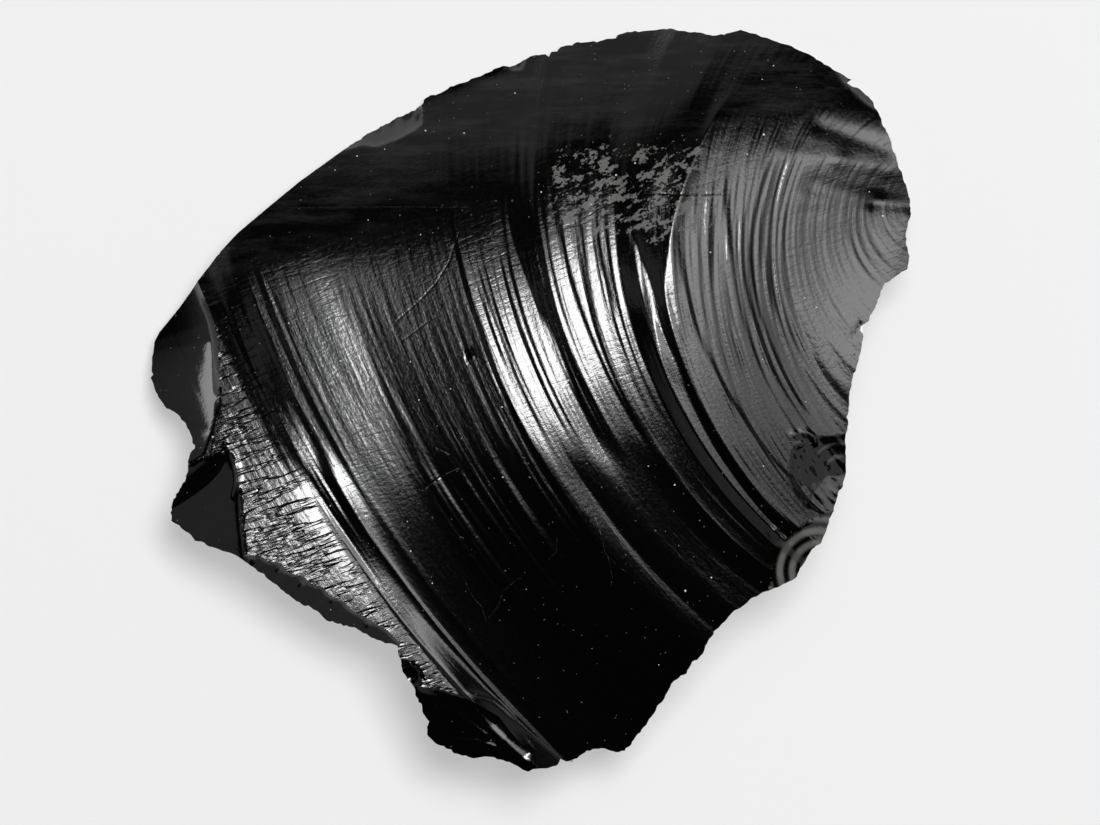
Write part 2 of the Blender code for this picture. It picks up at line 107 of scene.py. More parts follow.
def crack_coordinates(x, y):
    """How far the crack had run at a point, and the distance along its front."""
    below, above = np.full(x.shape, FIRST_RUN), np.full(x.shape, LAST_RUN)
    for _ in range(HALVINGS):
        mid = (below + above) / 2
        cx, cy, r = front_circle(mid)
        passed = np.hypot(x - cx, y - cy) < r
        above, below = np.where(passed, mid, above), np.where(passed, below, mid)
    d = (below + above) / 2
    cx, cy, r = front_circle(d)
    turn = np.arctan2(y - cy, x - cx) - front_start(d, cx, cy)
    return d, ((turn + np.pi) % (2 * np.pi) - np.pi) * r


for d in (5, 30, 60, 90):
    print("front at %2d mm has radius %.0f mm" % (d, front_circle(float(d))[2]))

# %% [markdown]
# ## Ripples and ledges
#
# A ripple is a change of tilt, and glass shows tilt far more than height: a slope of one
# in eight is enough to throw the lamp out of the reflection.  So the face is written down
# as tilts met on the way from the strike point, and the height follows by adding them up.
#
# Ground is the broad lie of the face.  Over it go the single ripples, each with the place
# where it begins and where it dies out along the front.  The bow is a second tilt, this time
# along the front: the face is a little like a bowl turned over.

# %% Tilts along the run
CLIMB, LEVEL, EASY, DROP, STEEP = 0.20, 0.03, -0.08, -0.13, -0.26
# run at which a stretch begins, its tilt
GROUND = [
    (0.0, 0.255), (19.0, 0.245), (27.0, 0.225), (34.6, DROP), (39.6, STEEP), (41.8, LEVEL), (51.2, DROP),
    (53.0, LEVEL), (61.7, DROP), (78.2, -0.05), (86.6, -0.08), (89.5, -0.045), (92.0, DROP), (94.3, -0.03)]
# run of the ripple where it begins and where it ends, half widths there, offsets, tilt
RIPPLES = [
    (7.4, 7.6, 0.15, 0.12, -9, 6, 0.40), (8.6, 8.8, 0.12, 0.12, -4, 9, 0.42),
    (12.6, 12.8, 0.25, 0.25, -1, 9, 0.18), (17.9, 18.1, 0.15, 0.15, 8, 20, 0.17),
    (18.6, 18.8, 0.12, 0.10, -2, 24, 0.40), (19.3, 18.6, 0.14, 0.12, -13, 6, 0.17),
    (19.8, 19.5, 0.20, 0.12, -13, 24, 0.42), (20.2, 20.5, 0.10, 0.10, -14, 6, 0.16),
    (20.7, 20.7, 0.10, 0.12, -12, 27, 0.44), (21.3, 21.2, 0.14, 0.12, -12, 26, 0.48),
    (21.9, 21.7, 0.12, 0.12, -13, 28, 0.48), (21.6, 21.5, 0.08, 0.08, -10, 10, 0.14),
    (22.4, 23.4, 0.30, 0.30, -14, 0, 0.60), (23.4, 22.2, 0.30, 0.18, -1, 24, 0.62),
    (22.9, 23.0, 0.08, 0.10, -10, 14, 0.16), (24.5, 24.7, 0.18, 0.18, -10, 1, 0.50),
    (24.6, 23.2, 0.24, 0.16, 0, 24, 0.60), (25.2, 24.9, 0.09, 0.07, -8, 1, 0.06),
    (26.2, 25.5, 0.18, 0.14, -13, -3, 0.45), (27.3, 26.0, 0.45, 0.25, -11, 0, 0.58),
    (26.0, 24.8, 0.20, 0.30, 0, 28, 0.42), (28.8, 29.2, 0.55, 0.3, -10, 1, 0.55),
    (30.9, 31.0, 0.14, 0.10, -7, 8, 0.40), (27.9, 27.6, 0.1, 0.1, 2, 16, 0.36),
    (33.6, 32.2, 0.32, 0.35, -6, 12, 0.42), (32.2, 29.2, 0.35, 0.40, 10, 32, 0.44),
    (30.6, 30.2, 0.2, 0.25, 22, 34, 0.40), (34.6, 33.9, 0.12, 0.15, 0, 30, 0.42),
    (36.9, 36.9, 6.5, 0.1, -26, 3, -0.46), (52.3, 52.3, 6.0, 6.0, 20, 56, -0.34),
    (52.2, 52.2, 1.2, 1.2, 7, 20, -0.32), (91.0, 91.0, 1.8, 1.8, 8, 56, -0.85),
    (87.6, 87.6, 1.2, 1.2, 14, 56, -0.25), (35.4, 34.9, 0.8, 1.0, 2, 38, 0.27),
    (36.7, 36.4, 0.15, 0.18, 4, 34, DROP), (38.3, 38.3, 0.15, 1.1, 3, 12, 0.27),
    (38.3, 38.7, 1.1, 0.45, 11, 42, 0.27), (40.7, 40.8, 1.1, 1.2, 3, 42, -0.55),
    (43.6, 43.6, 0.15, 0.2, 26, 40, 0.14), (46.4, 46.3, 0.12, 0.15, 26, 40, 0.13),
    (42.95, 42.95, 0.18, 0.18, -14, 16, STEEP), (43.55, 43.6, 0.35, 0.35, -12, 12, -0.045),
    (44.0, 44.05, 0.10, 0.10, -12, 12, STEEP), (44.6, 44.5, 0.10, 0.10, -13, 14, STEEP),
    (45.2, 45.0, 0.08, 0.10, -6, 12, DROP), (46.2, 45.9, 0.10, 0.12, -16, 0, STEEP),
    (46.5, 46.5, 0.35, 0.45, -12, 20, -0.11), (46.9, 46.9, 0.15, 0.15, -4, 20, STEEP),
    (47.45, 47.3, 0.2, 0.2, -10, 12, -0.02), (48.9, 48.3, 0.13, 0.16, -17, -4, STEEP),
    (48.2, 47.1, 0.16, 0.24, -5, 20, STEEP), (50.6, 50.4, 0.10, 0.12, -12, 2, DROP),
    (49.6, 49.6, 0.08, 0.08, 0, 14, EASY), (49.1, 49.0, 0.07, 0.08, 4, 14, EASY),
    (50.4, 50.4, 0.10, 0.12, 2, 16, STEEP), (50.9, 50.9, 0.08, 0.10, -8, 8, LEVEL),
    (52.0, 52.2, 0.10, 0.10, 0, 16, -0.03), (51.5, 51.6, 0.2, 0.2, -14, 20, STEEP),
    (54.0, 53.0, 1.0, 0.1, -16, 1, STEEP), (54.7, 54.6, 0.25, 0.5, -9, -1, 0.02),
    (55.9, 55.9, 0.3, 0.1, -14, 0, -0.09), (55.7, 55.8, 0.16, 0.14, -12, 14, STEEP),
    (56.8, 56.8, 0.18, 0.13, -12, 13, STEEP), (56.4, 56.3, 0.08, 0.08, -6, 14, EASY),
    (57.6, 57.5, 0.08, 0.08, 2, 14, EASY), (58.9, 58.9, 0.12, 0.14, -12, 14, STEEP),
    (59.7, 59.6, 0.22, 0.14, -12, 14, STEEP), (60.5, 60.4, 0.14, 0.10, -12, 12, STEEP),
    (61.0, 61.2, 0.35, 0.10, -16, -5, DROP), (54.4, 54.5, 0.08, 0.08, 2, 16, EASY),
    (53.1, 53.2, 0.12, 0.08, 0, 16, DROP), (62.0, 62.0, 0.3, 0.25, -18, 30, STEEP),
    (62.9, 63.0, 0.20, 0.22, 3, 17, -0.05), (63.0, 63.0, 0.22, 0.25, 17, 27, 0.16),
    (64.0, 64.0, 0.14, 0.16, 8, 17, -0.05), (64.1, 64.1, 0.18, 0.25, 18, 29, 0.16),
    (65.2, 65.2, 0.20, 0.15, 1, 12, -0.05), (67.4, 67.6, 0.30, 0.30, 4, 15, -0.085),
    (67.6, 67.6, 0.4, 0.6, 16, 30, 0.16), (70.3, 70.2, 0.15, 0.20, 0, 15, -0.08),
    (70.2, 70.1, 0.15, 0.20, 15, 30, 0.14), (71.1, 71.1, 0.15, 0.16, 3, 16, -0.075),
    (71.1, 71.2, 0.22, 0.20, 16, 37, 0.19), (72.8, 72.4, 0.22, 0.30, 14, 30, 0.12),
    (74.9, 74.6, 0.2, 0.3, 16, 30, 0.11), (76.2, 76.2, 0.30, 0.45, 13, 35, 0.19),
    (77.1, 77.1, 0.14, 0.14, 12, 36, 0.22), (78.3, 78.6, 0.18, 0.20, 18, 40, 0.17),
    (76.6, 75.9, 0.30, 0.25, -8, 10, -0.075), (77.4, 77.3, 0.12, 0.12, -13, -3, -0.03),
    (77.9, 77.7, 0.6, 0.3, -10, 4, -0.06), (78.6, 78.6, 0.10, 0.20, 4, 16, DROP),
    (79.0, 78.5, 0.3, 0.1, -24, -12, DROP), (84.5, 84.5, 0.07, 0.07, -16, 10, DROP),
    (85.8, 85.8, 0.10, 0.10, -18, 8, -0.16), (82.9, 82.9, 0.08, 0.08, -4, 8, -0.02),
    (87.9, 88.0, 0.32, 0.32, -24, 14, -0.055), (87.5, 87.8, 0.07, 0.07, -20, 10, -0.04),
    (87.0, 87.1, 0.22, 0.25, -22, 22, -0.21), (88.9, 89.2, 0.22, 0.22, -26, 22, STEEP),
    (90.9, 90.8, 0.12, 0.12, -10, 14, -0.075), (91.6, 91.6, 0.08, 0.08, -10, 14, DROP),
    (92.4, 92.5, 0.25, 0.25, -20, 24, STEEP), (93.3, 93.7, 0.35, 0.35, -16, 26, -0.10),
    (94.5, 94.4, 0.2, 0.2, -14, 8, -0.10), (95.6, 95.3, 0.10, 0.10, 4, 30, -0.05),
    (96.6, 96.3, 0.06, 0.06, 6, 30, -0.03)]
# run, tilt along the front at the middle line, and how fast that tilt turns over, 1/mm
BOW_AT = [0.0, 28.0, 41.0, 50.0, 55.0, 61.0, 70.0, 80.0, 89.5, 93.0, 110.0]
BOW_SLOPE = [0.10, 0.135, 0.155, 0.168, 0.198, 0.206, 0.184, 0.155, 0.158, 0.215, 0.235]
BOW_TURN = [0.0060, 0.0070, 0.0080, 0.0078, 0.0076, 0.0073, 0.0070, 0.0064, 0.0056, 0.0049, 0.0045]
BOW_SMOOTHED = 2.2
TAB_BOW = smooth(np.interp(TABLE, BOW_AT, BOW_SLOPE), BOW_SMOOTHED)
TAB_TURN = smooth(np.interp(TABLE, BOW_AT, BOW_TURN), BOW_SMOOTHED)
EDGE_SOFT, END_SOFT = 0.09, 1.6  # how gently a ripple begins across the run, and along the front
GROUND_SOFT = 0.35
ROW_MARGIN = 0.6                 # rows changed on each side of a ripple


def step_up(value, soft):
    """0 below, 1 above, with a soft change between."""
    return 1 / (1 + np.exp(-np.clip(value / soft, -30, 30)))


ARC = np.arange(-62.0, 72.0, 0.5)
ground = np.full(TABLE.shape, CLIMB)
for begin, tilt in GROUND:
    ground[TABLE >= begin] = tilt
ground = smooth(ground, GROUND_SOFT)
tilts = np.zeros((len(TABLE), len(ARC)))
for begin, end, half_begin, half_end, s_begin, s_end, tilt in RIPPLES:
    reach = max(half_begin, half_end) + ROW_MARGIN
    rows = slice(*np.searchsorted(TABLE, (min(begin, end) - reach, max(begin, end) + reach)))
    part = np.clip((ARC - s_begin) / (s_end - s_begin), 0, 1)
    middle, half = begin + (end - begin) * part, half_begin + (half_end - half_begin) * part
    weight = step_up(half - np.abs(TABLE[rows, None] - middle), EDGE_SOFT / 2)
    weight *= step_up(ARC - s_begin, END_SOFT) * step_up(s_end - ARC, END_SOFT)
    tilts[rows] += weight * (tilt - ground[rows, None] - tilts[rows])
print("single ripples:", len(RIPPLES))

# %% [markdown]
# ## Fine ripples
#
# Between the ledges the front trembled all the time.  Those ripples are short across the
# run and long along the front, and each one dies out.  Drawing them one by one would take
# hundreds of rows, so they are seeded noise, stretched along the fronts.

# %% Fine ripples
CHANCE = np.random.default_rng(11)
# run, and the tilt of the fine ripples there
FINE_AT = [0.0, 17.0, 19.0, 27.0, 33.0, 40.0, 42.0, 62.0, 64.0, 77.0, 79.0, 86.0, 92.0, 95.0, 118.0]
FINE_TILT = [0.025, 0.04, 0.10, 0.09, 0.06, 0.02, 0.055, 0.055, 0.02, 0.02, 0.010, 0.015, 0.02, 0.012,
             0.012]
FINE_LENGTHS = ((0.35, 0.5), (0.6, 1.0), (1.2, 0.7))         # length across the run, share
LONGER = 2.2                     # waves longer than this many lengths are taken out
BAND_COLUMNS, LARGEST_SHIFT = 16, 900                        # columns between random ones, rows moved
CALM_RUN, CALM_SIDE, CALM_SOFT, CALMED = 40, 15, 1.5, 0.8    # beyond these the lower side is calm
noise = CHANCE.normal(0, 1, (len(TABLE), len(ARC) // BAND_COLUMNS + 3))
for length, share in FINE_LENGTHS:
    rows = np.array([smooth(column, length) - smooth(column, LONGER * length) for column in noise.T])
    rows = np.roll(rows / rows.std(), CHANCE.integers(0, LARGEST_SHIFT), axis=1)
    at = np.linspace(0, len(rows) - 1.001, len(ARC))
    left = at.astype(int)
    mix = (0.5 - 0.5 * np.cos(np.pi * (at - left)))[:, None]
    fine = (rows[left] * (1 - mix) + rows[left + 1] * mix).T * np.interp(TABLE, FINE_AT, FINE_TILT)[:, None]
    calm = 1 - CALMED * step_up(ARC - CALM_SIDE, CALM_SOFT)
    tilts += share * fine * np.where(TABLE[:, None] > CALM_RUN, calm, 1)
tilts += ground[:, None]
print("steepest tilt, degrees: %.0f" % math.degrees(math.atan(np.abs(tilts).max())))

# %% [markdown]
# ## From tilts to heights
#
# Adding up the tilts gives the height.  Neighbouring columns would drift apart as they are
# added up, so each is kept near the typical one by levelling over about a centimetre.

# %% Heights
LEVELLED_OVER = 11.0             # mm of run
FAR_RUN = 82                     # beyond it the typical tilt is read further up the front
NEAR_MIDDLE, FAR_MIDDLE = (ARC > -10) & (ARC < 22), (ARC > -20) & (ARC < 8)
typical = np.where(TABLE < FAR_RUN, tilts[:, NEAR_MIDDLE].mean(axis=1), tilts[:, FAR_MIDDLE].mean(axis=1))
HEIGHTS = np.cumsum(tilts - typical[:, None], axis=0) * STEP
HEIGHTS -= np.array([smooth(column, LEVELLED_OVER) for column in HEIGHTS.T]).T
typical = np.cumsum(typical) * STEP
HEIGHTS += (typical - np.interp(0.0, TABLE, typical))[:, None] + STRIKE_HEIGHT


def height_along(d, s):
    """Height that the tilts have added up to after a run d at an offset s."""
    i = np.clip((d - TABLE[0]) / STEP, 0, len(TABLE) - 1.001)
    j = np.clip((s - ARC[0]) / (ARC[1] - ARC[0]), 0, len(ARC) - 1.001)
    i0, j0 = i.astype(int), j.astype(int)
    fi, fj = i - i0, j - j0
    near = HEIGHTS[i0, j0] * (1 - fi) + HEIGHTS[i0 + 1, j0] * fi
    far = HEIGHTS[i0, j0 + 1] * (1 - fi) + HEIGHTS[i0 + 1, j0 + 1] * fi
    return near * (1 - fj) + far * fj


print("height along the run, mm:", [round(float(np.interp(d, TABLE, HEIGHTS[:, len(ARC) // 2])), 1)
                                    for d in range(0, 106, 15)])

# %% [markdown]
# ## Ridges that don't follow the fronts
#
# Close to the blow a few soft ridges and troughs fan out from it, and thin seams stand where
# small fractures meet.  Each is a line with a bell-shaped bump laid over it.

# %% Ridges and seams
# a seam's line, half width, height
SEAMS = [
    ([(-14.8, -41.8), (-9.9, -43.6), (-7.1, -45.0)], 0.35, 0.12),
    ([(-14.6, -43.6), (-12.0, -44.2), (-9.7, -45.6), (-6.2, -48.2)], 0.4, 0.16),
    ([(-8.5, -42.3), (-5.3, -43.0), (-3.6, -44.4), (-2.3, -45.7)], 0.3, 0.10),
    ([(-9.9, -49.0), (-7.1, -49.0), (-5.0, -49.8), (-2.9, -52.0)], 0.35, 0.14),
    ([(-42.0, -8.0), (-40.9, -9.6), (-40.4, -12.6), (-40.9, -15.0)], 0.4, 0.14),
    ([(-41.2, -9.6), (-40.9, -12.6), (-41.3, -15.0)], 0.25, -0.08),
    ([(36.1, -6.9), (37.8, -6.4), (39.0, -6.8), (39.2, -8.0)], 0.3, 0.12),
    ([(37.0, -7.4), (38.4, -7.6)], 0.25, -0.08),
    ([(34.4, -19.6), (33.0, -20.4), (33.4, -21.6), (34.9, -21.4)], 0.4, 0.16),
    ([(45.6, 8.7), (45.2, 7.6), (44.6, 7.2)], 0.3, -0.12),
    ([(-0.2, -48.6), (1.0, -50.0), (2.6, -51.4)], 0.3, 0.10), ([(13.2, -47.2), (12.4, -49.0)], 0.3, 0.10)]
# ends of each soft ridge or trough, half width, height
SWELLS = [
    (53.0, 25.9, 47.5, 26.4, 1.0, -0.15), (47.5, 26.4, 39.0, 28.4, 1.6, -0.16),
    (44.5, 25.0, 37.5, 24.6, 0.8, -0.04), (50.5, 30.6, 43.0, 32.0, 1.2, 0.10),
    (43.0, 32.0, 35.0, 32.8, 1.5, 0.10), (50.0, 33.6, 40.5, 36.8, 1.3, -0.16)]


def line_distance(x, y, line, closed=False):
    """Distance from points to a run of straight segments."""
    best = np.full(x.shape, 1e9)
    ends = line[1:] + line[:1] if closed else line[1:]
    for (ax, ay), (bx, by) in zip(line, ends):
        dx, dy = bx - ax, by - ay
        t = np.clip(((x - ax) * dx + (y - ay) * dy) / (dx * dx + dy * dy), 0, 1)
        best = np.minimum(best, np.hypot(x - ax - t * dx, y - ay - t * dy))
    return best


def swells(x, y):
    """Height that the soft ridges and troughs near the blow add."""
    z = np.zeros(x.shape)
    for ax, ay, bx, by, width, height in SWELLS:
        t = np.clip(((x - ax) * (bx - ax) + (y - ay) * (by - ay)) / ((bx - ax) ** 2 + (by - ay) ** 2), 0, 1)
        z += height * np.exp(-((x - ax - t * (bx - ax)) ** 2 + (y - ay - t * (by - ay)) ** 2) / width ** 2)
    for line, width, height in SEAMS:
        z += height * np.exp(-(line_distance(x, y, line) / width) ** 2)
    return z


print("seams: %d, soft ridges and troughs: %d" % (len(SEAMS), len(SWELLS)))

# %% [markdown]
# ## The outline and the chips on it
#
# The rim is where the face meets the underside, and it is as sharp as a blade, so it chips.
# Every chip is a small fracture of its own, with its own crease and its own ripples.

# %% Outline and chips
OUTLINE = [
    (-53.0, 2.3), (-52.6, 7.4), (-51.9, 8.8), (-49.1, 12.1), (-43.5, 19.5), (-40.7, 22.5), (-32.3, 29.8),
    (-23.9, 36.2), (-21.1, 38.0), (-15.2, 41.0), (-15.0, 41.7), (-14.1, 42.4), (-12.7, 42.7),
    (-11.3, 43.5), (-4.3, 46.4), (-2.2, 46.7), (-0.1, 47.9), (3.7, 48.4), (4.2, 49.1), (5.7, 49.6),
    (9.7, 50.0), (11.8, 50.5), (12.8, 51.1), (14.6, 51.3), (19.5, 51.5), (25.8, 50.1), (29.3, 51.0),
    (35.6, 48.9), (38.0, 47.8), (44.8, 43.9), (44.1, 43.3), (46.2, 42.3), (47.7, 40.9), (48.9, 37.7),
    (49.9, 35.6), (51.3, 30.9), (52.2, 28.8), (52.7, 26.7), (52.8, 24.3), (52.2, 22.1), (52.1, 20.7),
    (52.6, 18.6), (52.2, 16.7), (51.0, 16.1), (48.9, 14.3), (47.3, 10.3), (46.2, 8.8), (45.4, 4.2),
    (44.5, 1.5), (44.0, -1.1), (43.6, -6.0), (43.3, -7.5), (43.5, -10.5), (43.3, -13.0), (42.4, -14.8),
    (40.5, -20.5), (39.9, -21.7), (38.6, -22.6), (36.6, -26.3), (35.6, -27.1), (30.7, -29.1),
    (29.4, -30.0), (26.6, -32.6), (25.3, -34.0), (24.2, -35.6), (23.7, -37.0), (22.3, -38.2),
    (21.4, -39.6), (19.7, -40.7), (18.1, -43.4), (14.1, -48.9), (12.6, -50.3), (9.7, -49.8), (7.8, -50.2),
    (5.7, -51.6), (4.2, -51.5), (3.5, -52.2), (2.7, -52.5), (0.7, -52.8), (-0.3, -53.1), (-1.5, -52.7),
    (-2.1, -52.2), (-2.9, -51.8), (-6.2, -51.1), (-7.8, -51.3), (-10.5, -50.6), (-11.3, -50.0),
    (-12.6, -49.5), (-13.9, -48.6), (-14.2, -47.7), (-14.2, -46.3), (-15.2, -43.5), (-15.8, -42.9),
    (-15.8, -41.9), (-17.6, -39.5), (-18.3, -35.9), (-21.1, -35.0), (-24.6, -33.3), (-28.1, -32.3),
    (-29.5, -30.9), (-32.3, -29.6), (-37.9, -25.1), (-40.7, -23.3), (-46.3, -21.1), (-49.6, -18.2),
    (-49.8, -17.1), (-49.3, -14.9), (-47.7, -12.4), (-47.2, -9.2), (-46.6, -7.8), (-46.9, -6.6),
    (-47.9, -4.5), (-48.9, -3.3), (-50.5, -2.2), (-51.9, -0.6)]
# crease, way out, drop near the crease, over this reach, further slope,
# point its ripples spread from, ripple spacing, ripple slope
CHIPS = {
    "left scar": (
        [(-46.8, 16.4), (-45.4, 13.1), (-44.2, 10.2), (-43.5, 7.3), (-43.3, 4.4), (-43.1, -1.3),
         (-42.8, -5.7), (-43.4, -10.2), (-48.0, -13.3)],
        (-1.0, 0.0), 1.0, 2.4, 0.33, (-50.0, 18.0), 40.0, 0.20),
    "scar facet": (
        [(-43.6, -9.0), (-41.4, -8.8), (-40.5, -11.4), (-39.9, -15.7), (-39.6, -20.0), (-39.0, -24.6)],
        (-0.9, -0.4), 0.35, 0.4, 0.20, (-38.0, -6.0), 4.0, 0.01),
    "upper left chip": (
        [(-27.3, 33.9), (-25.3, 34.5), (-23.7, 35.0), (-21.4, 34.7), (-18.3, 35.9), (-16.2, 37.1),
         (-15.1, 38.1), (-15.0, 40.4), (-15.4, 42.2)],
        (-0.57, 0.82), 0.5, 0.9, 0.28, (-13.0, 38.0), 1.9, 0.14),
    "bottom chip": (
        [(-15.6, -41.5), (-12.7, -41.8), (-9.9, -42.6), (-7.1, -44.0), (-4.3, -45.6), (-2.7, -47.8),
         (-0.1, -50.6), (1.3, -53.6)],
        (-0.6, -0.8), 0.8, 0.9, 0.20, None, 0.0, 0.0),
    "right-hand chip": (
        [(44.6, -6.6), (38.8, -7.2), (36.3, -8.6), (35.6, -11.4), (36.0, -14.5), (37.7, -16.9),
         (42.6, -18.6)],
        (1.0, 0.0), 0.09, 0.5, 0.09, (42.6, -11.6), 1.9, 0.07),
    "shell chip": (
        [(42.4, -17.0), (38.4, -18.7), (36.3, -20.1), (34.6, -22.2), (33.5, -24.3), (33.0, -26.3),
         (32.6, -29.8)],
        (0.8, -0.6), 0.20, 0.4, 0.0, (39.8, -25.6), 1.5, 0.045),
    "crushed lower left edge": (
        [(-40.4, -24.3), (-38.8, -23.3), (-37.2, -23.4), (-36.1, -24.2), (-34.3, -24.4), (-33.4, -25.8),
         (-31.2, -26.3), (-30.2, -27.3), (-28.6, -27.8), (-27.5, -29.0), (-25.8, -29.7), (-24.6, -31.0),
         (-22.9, -31.9), (-21.2, -32.9), (-19.6, -33.8), (-17.9, -35.6)],
        (-0.5, -0.86), 0.15, 0.3, 0.95, None, 0.0, 0.0),
    "left tip": (
        [(-48.6, 13.4), (-49.8, 8.1), (-50.3, 5.9), (-50.8, 3.6), (-51.9, 1.9), (-53.6, 0.6)],
        (-1.0, 0.1), 0.3, 0.5, 0.60, None, 0.0, 0.0),
    "lower left corner": (
        [(-50.6, -16.4), (-48.3, -16.8), (-46.9, -18.5), (-45.6, -22.4)],
        (-0.6, -0.8), 0.3, 0.5, 0.55, None, 0.0, 0.0),
    "top right corner": (
        [(41.6, 46.6), (43.3, 43.7), (44.9, 42.0), (46.6, 40.3), (49.2, 38.6)],
        (0.7, 0.7), 0.3, 0.5, 0.45, None, 0.0, 0.0),
    "top notch": (
        [(-4.6, 47.0), (-2.9, 45.8), (-1.3, 45.8), (0.1, 48.6)],
        (-0.3, 1.0), 0.15, 0.4, 0.30, None, 0.0, 0.0)}
CHIP_REACH = 12.0                # a chip's ring closes this far outside the crease
RIPPLE_FADE, LEAST_SLOPE = 0.8, 0.02                 # ripples start past the crease, least fall from it
# middle and radius of each small bite along the crushed edge
NIBBLES = [
    (-38.4, -24.0, 0.5), (-34.8, -25.2, 0.45), (-31.6, -27.3, 0.5), (-27.4, -29.6, 0.45),
    (-22.4, -33.0, 0.5)]
NIBBLE_DEPTH, NIBBLE_NARROWED = 0.5, 1.3             # share of the radius, and how much narrower upward
BITE_CENTRE, BITE_RADIUS, BITE_DEPTH = (-16.7, -40.2), 1.9, 0.9      # one larger bite by the bottom chip


def inside(x, y, ring):
    """True where a point lies inside a closed ring."""
    hit = np.zeros(x.shape, bool)
    for (ax, ay), (bx, by) in zip(ring, ring[1:] + ring[:1]):
        if ay != by:
            hit ^= ((ay > y) != (by > y)) & (x < (bx - ax) * (y - ay) / (by - ay) + ax)
    return hit


def chip_ring(crease, out, *_):
    """The crease closed by a loop outside the rim."""
    (ax, ay), (bx, by) = crease[0], crease[-1]
    dx, dy = CHIP_REACH * out[0], CHIP_REACH * out[1]
    return crease + [(bx + dx, by + dy), (ax + dx, ay + dy)]


def chip_depth(x, y):
    """How far the chips lie below the main fracture at each point."""
    depth = np.zeros(x.shape)
    for crease, out, drop, reach, slope, spread, spacing, steep in CHIPS.values():
        hit = inside(x, y, chip_ring(crease, out))
        if not hit.any():
            continue
        px, py = x[hit], y[hit]
        away = line_distance(px, py, crease)
        cut = drop * (1 - np.exp(-away / reach)) + slope * away
        if spread is not None:
            ring = np.hypot(px - spread[0], py - spread[1])
            swell = steep * spacing / (2 * np.pi) * np.sin(2 * np.pi * ring / spacing)
            cut += swell * np.clip(away / RIPPLE_FADE, 0, 1)
        depth[hit] = np.maximum(depth[hit], np.maximum(cut, LEAST_SLOPE * away))
    bowl = np.hypot(x - BITE_CENTRE[0], y - BITE_CENTRE[1]) / BITE_RADIUS
    depth = np.maximum(depth, BITE_DEPTH * np.clip(1 - bowl ** 2, 0, None))
    for nx, ny, radius in NIBBLES:
        bowl = np.hypot(x - nx, NIBBLE_NARROWED * (y - ny)) / radius
        depth = depth + NIBBLE_DEPTH * radius * np.clip(1 - bowl ** 2, 0, None)
    return depth


print("rim points: %d, chips: %s" % (len(OUTLINE), ", ".join(CHIPS)))

# %% [markdown]
# ## Scratches and a pit
#
# Handling leaves scratches.  A light one is only a line of crushed, whitish glass, a deeper
# one is a groove as well.  Most lie on the rippled face, so they are placed on it the way
# the ripples are, by the run of the crack and the distance along its front.

# %% Scratches and a pit
# places as mm of run and mm along the front, groove depth, how white its crushed glass is
FACE_SCRATCHES = [
    ([(61.5, -17.5), (63.5, -14.0), (65.5, -12.0), (68.0, -10.5), (72.0, -8.8)], 0.01, 0.3),
    ([(68.5, -7.0), (72.5, -5.8)], 0.01, 0.35), ([(72.8, 13.8), (75.5, 14.0), (79.0, 15.0)], 0.02, 0.8),
    ([(73.0, 11.5), (74.3, 10.0)], 0.01, 0.3),
    ([(81.7, 29.5), (82.2, 32.0), (82.0, 33.5), (83.0, 36.0)], 0.01, 0.3),
    ([(66.2, 27.8), (67.8, 29.8), (69.3, 30.4)], 0.01, 0.35),
    ([(59.4, 25.0), (60.5, 29.0), (62.0, 32.5), (61.8, 35.0), (61.2, 36.5)], 0.0, 0.4),
    ([(62.0, 33.0), (63.5, 36.0), (64.8, 37.5)], 0.0, 0.35),
    ([(94.3, -7.5), (96.0, -7.0), (98.0, -6.7)], 0.0, 0.8),
    ([(75.0, 31.5), (78.0, 32.5), (80.0, 34.3), (82.5, 35.5)], 0.01, 0.3),
    ([(28.0, -10.5), (33.0, -12.0), (38.0, -14.0)], 0.02, 0.45)]
# the same, with places as seen from above
PLAN_SCRATCHES = [
    ([(-33.7, 26.0), (-20.0, 25.8), (-8.5, 25.4)], 0.01, 0.25), ([(-17.6, 7.0), (-14.8, 9.6)], 0.0, 0.3),
    ([(-18.0, 8.4), (-15.6, 10.2)], 0.0, 0.3), ([(-17.0, 5.6), (-15.8, 7.4)], 0.0, 0.3),
    ([(-23.8, 18.6), (-20.4, 19.8), (-18.4, 19.6)], 0.0, 0.35), ([(-22.4, 17.6), (-19.6, 18.4)], 0.0, 0.3)]
SCRATCH_HALF = 0.06              # half width
PIT = [(-9.0, 4.9), (-8.0, 4.7), (-8.6, 3.6)]
PIT_RIM, PIT_RIM_HALF, PIT_FLOOR = 0.5, 0.2, 0.4


def plan_place(d, s):
    """Where a place d mm along the run and s mm along its front lies, seen from above."""
    cx, cy, r = front_circle(d)
    turn = front_start(d, cx, cy) + s / r
    return cx + r * math.cos(turn), cy + r * math.sin(turn)


SCRATCHES = [([plan_place(d, s) for d, s in line], depth, white) for line, depth, white in FACE_SCRATCHES]
SCRATCHES += PLAN_SCRATCHES


def scratch_marks(x, y):
    """Groove depth and whiteness of the scratches at each point."""
    groove, white = np.zeros(x.shape), np.zeros(x.shape)
    for line, depth, crushed in SCRATCHES:
        near = np.clip(1 - line_distance(x, y, line) / SCRATCH_HALF, 0, 1)
        groove, white = np.maximum(groove, depth * near), np.maximum(white, crushed * near)
    return groove, white


print("scratches:", len(SCRATCHES))

# %% [markdown]
# ## The upper side
#
# Everything above comes together here.  Past one line the far side rolls down to the thin
# feather edge, and the height is held a little above zero so that the rim stays whole.

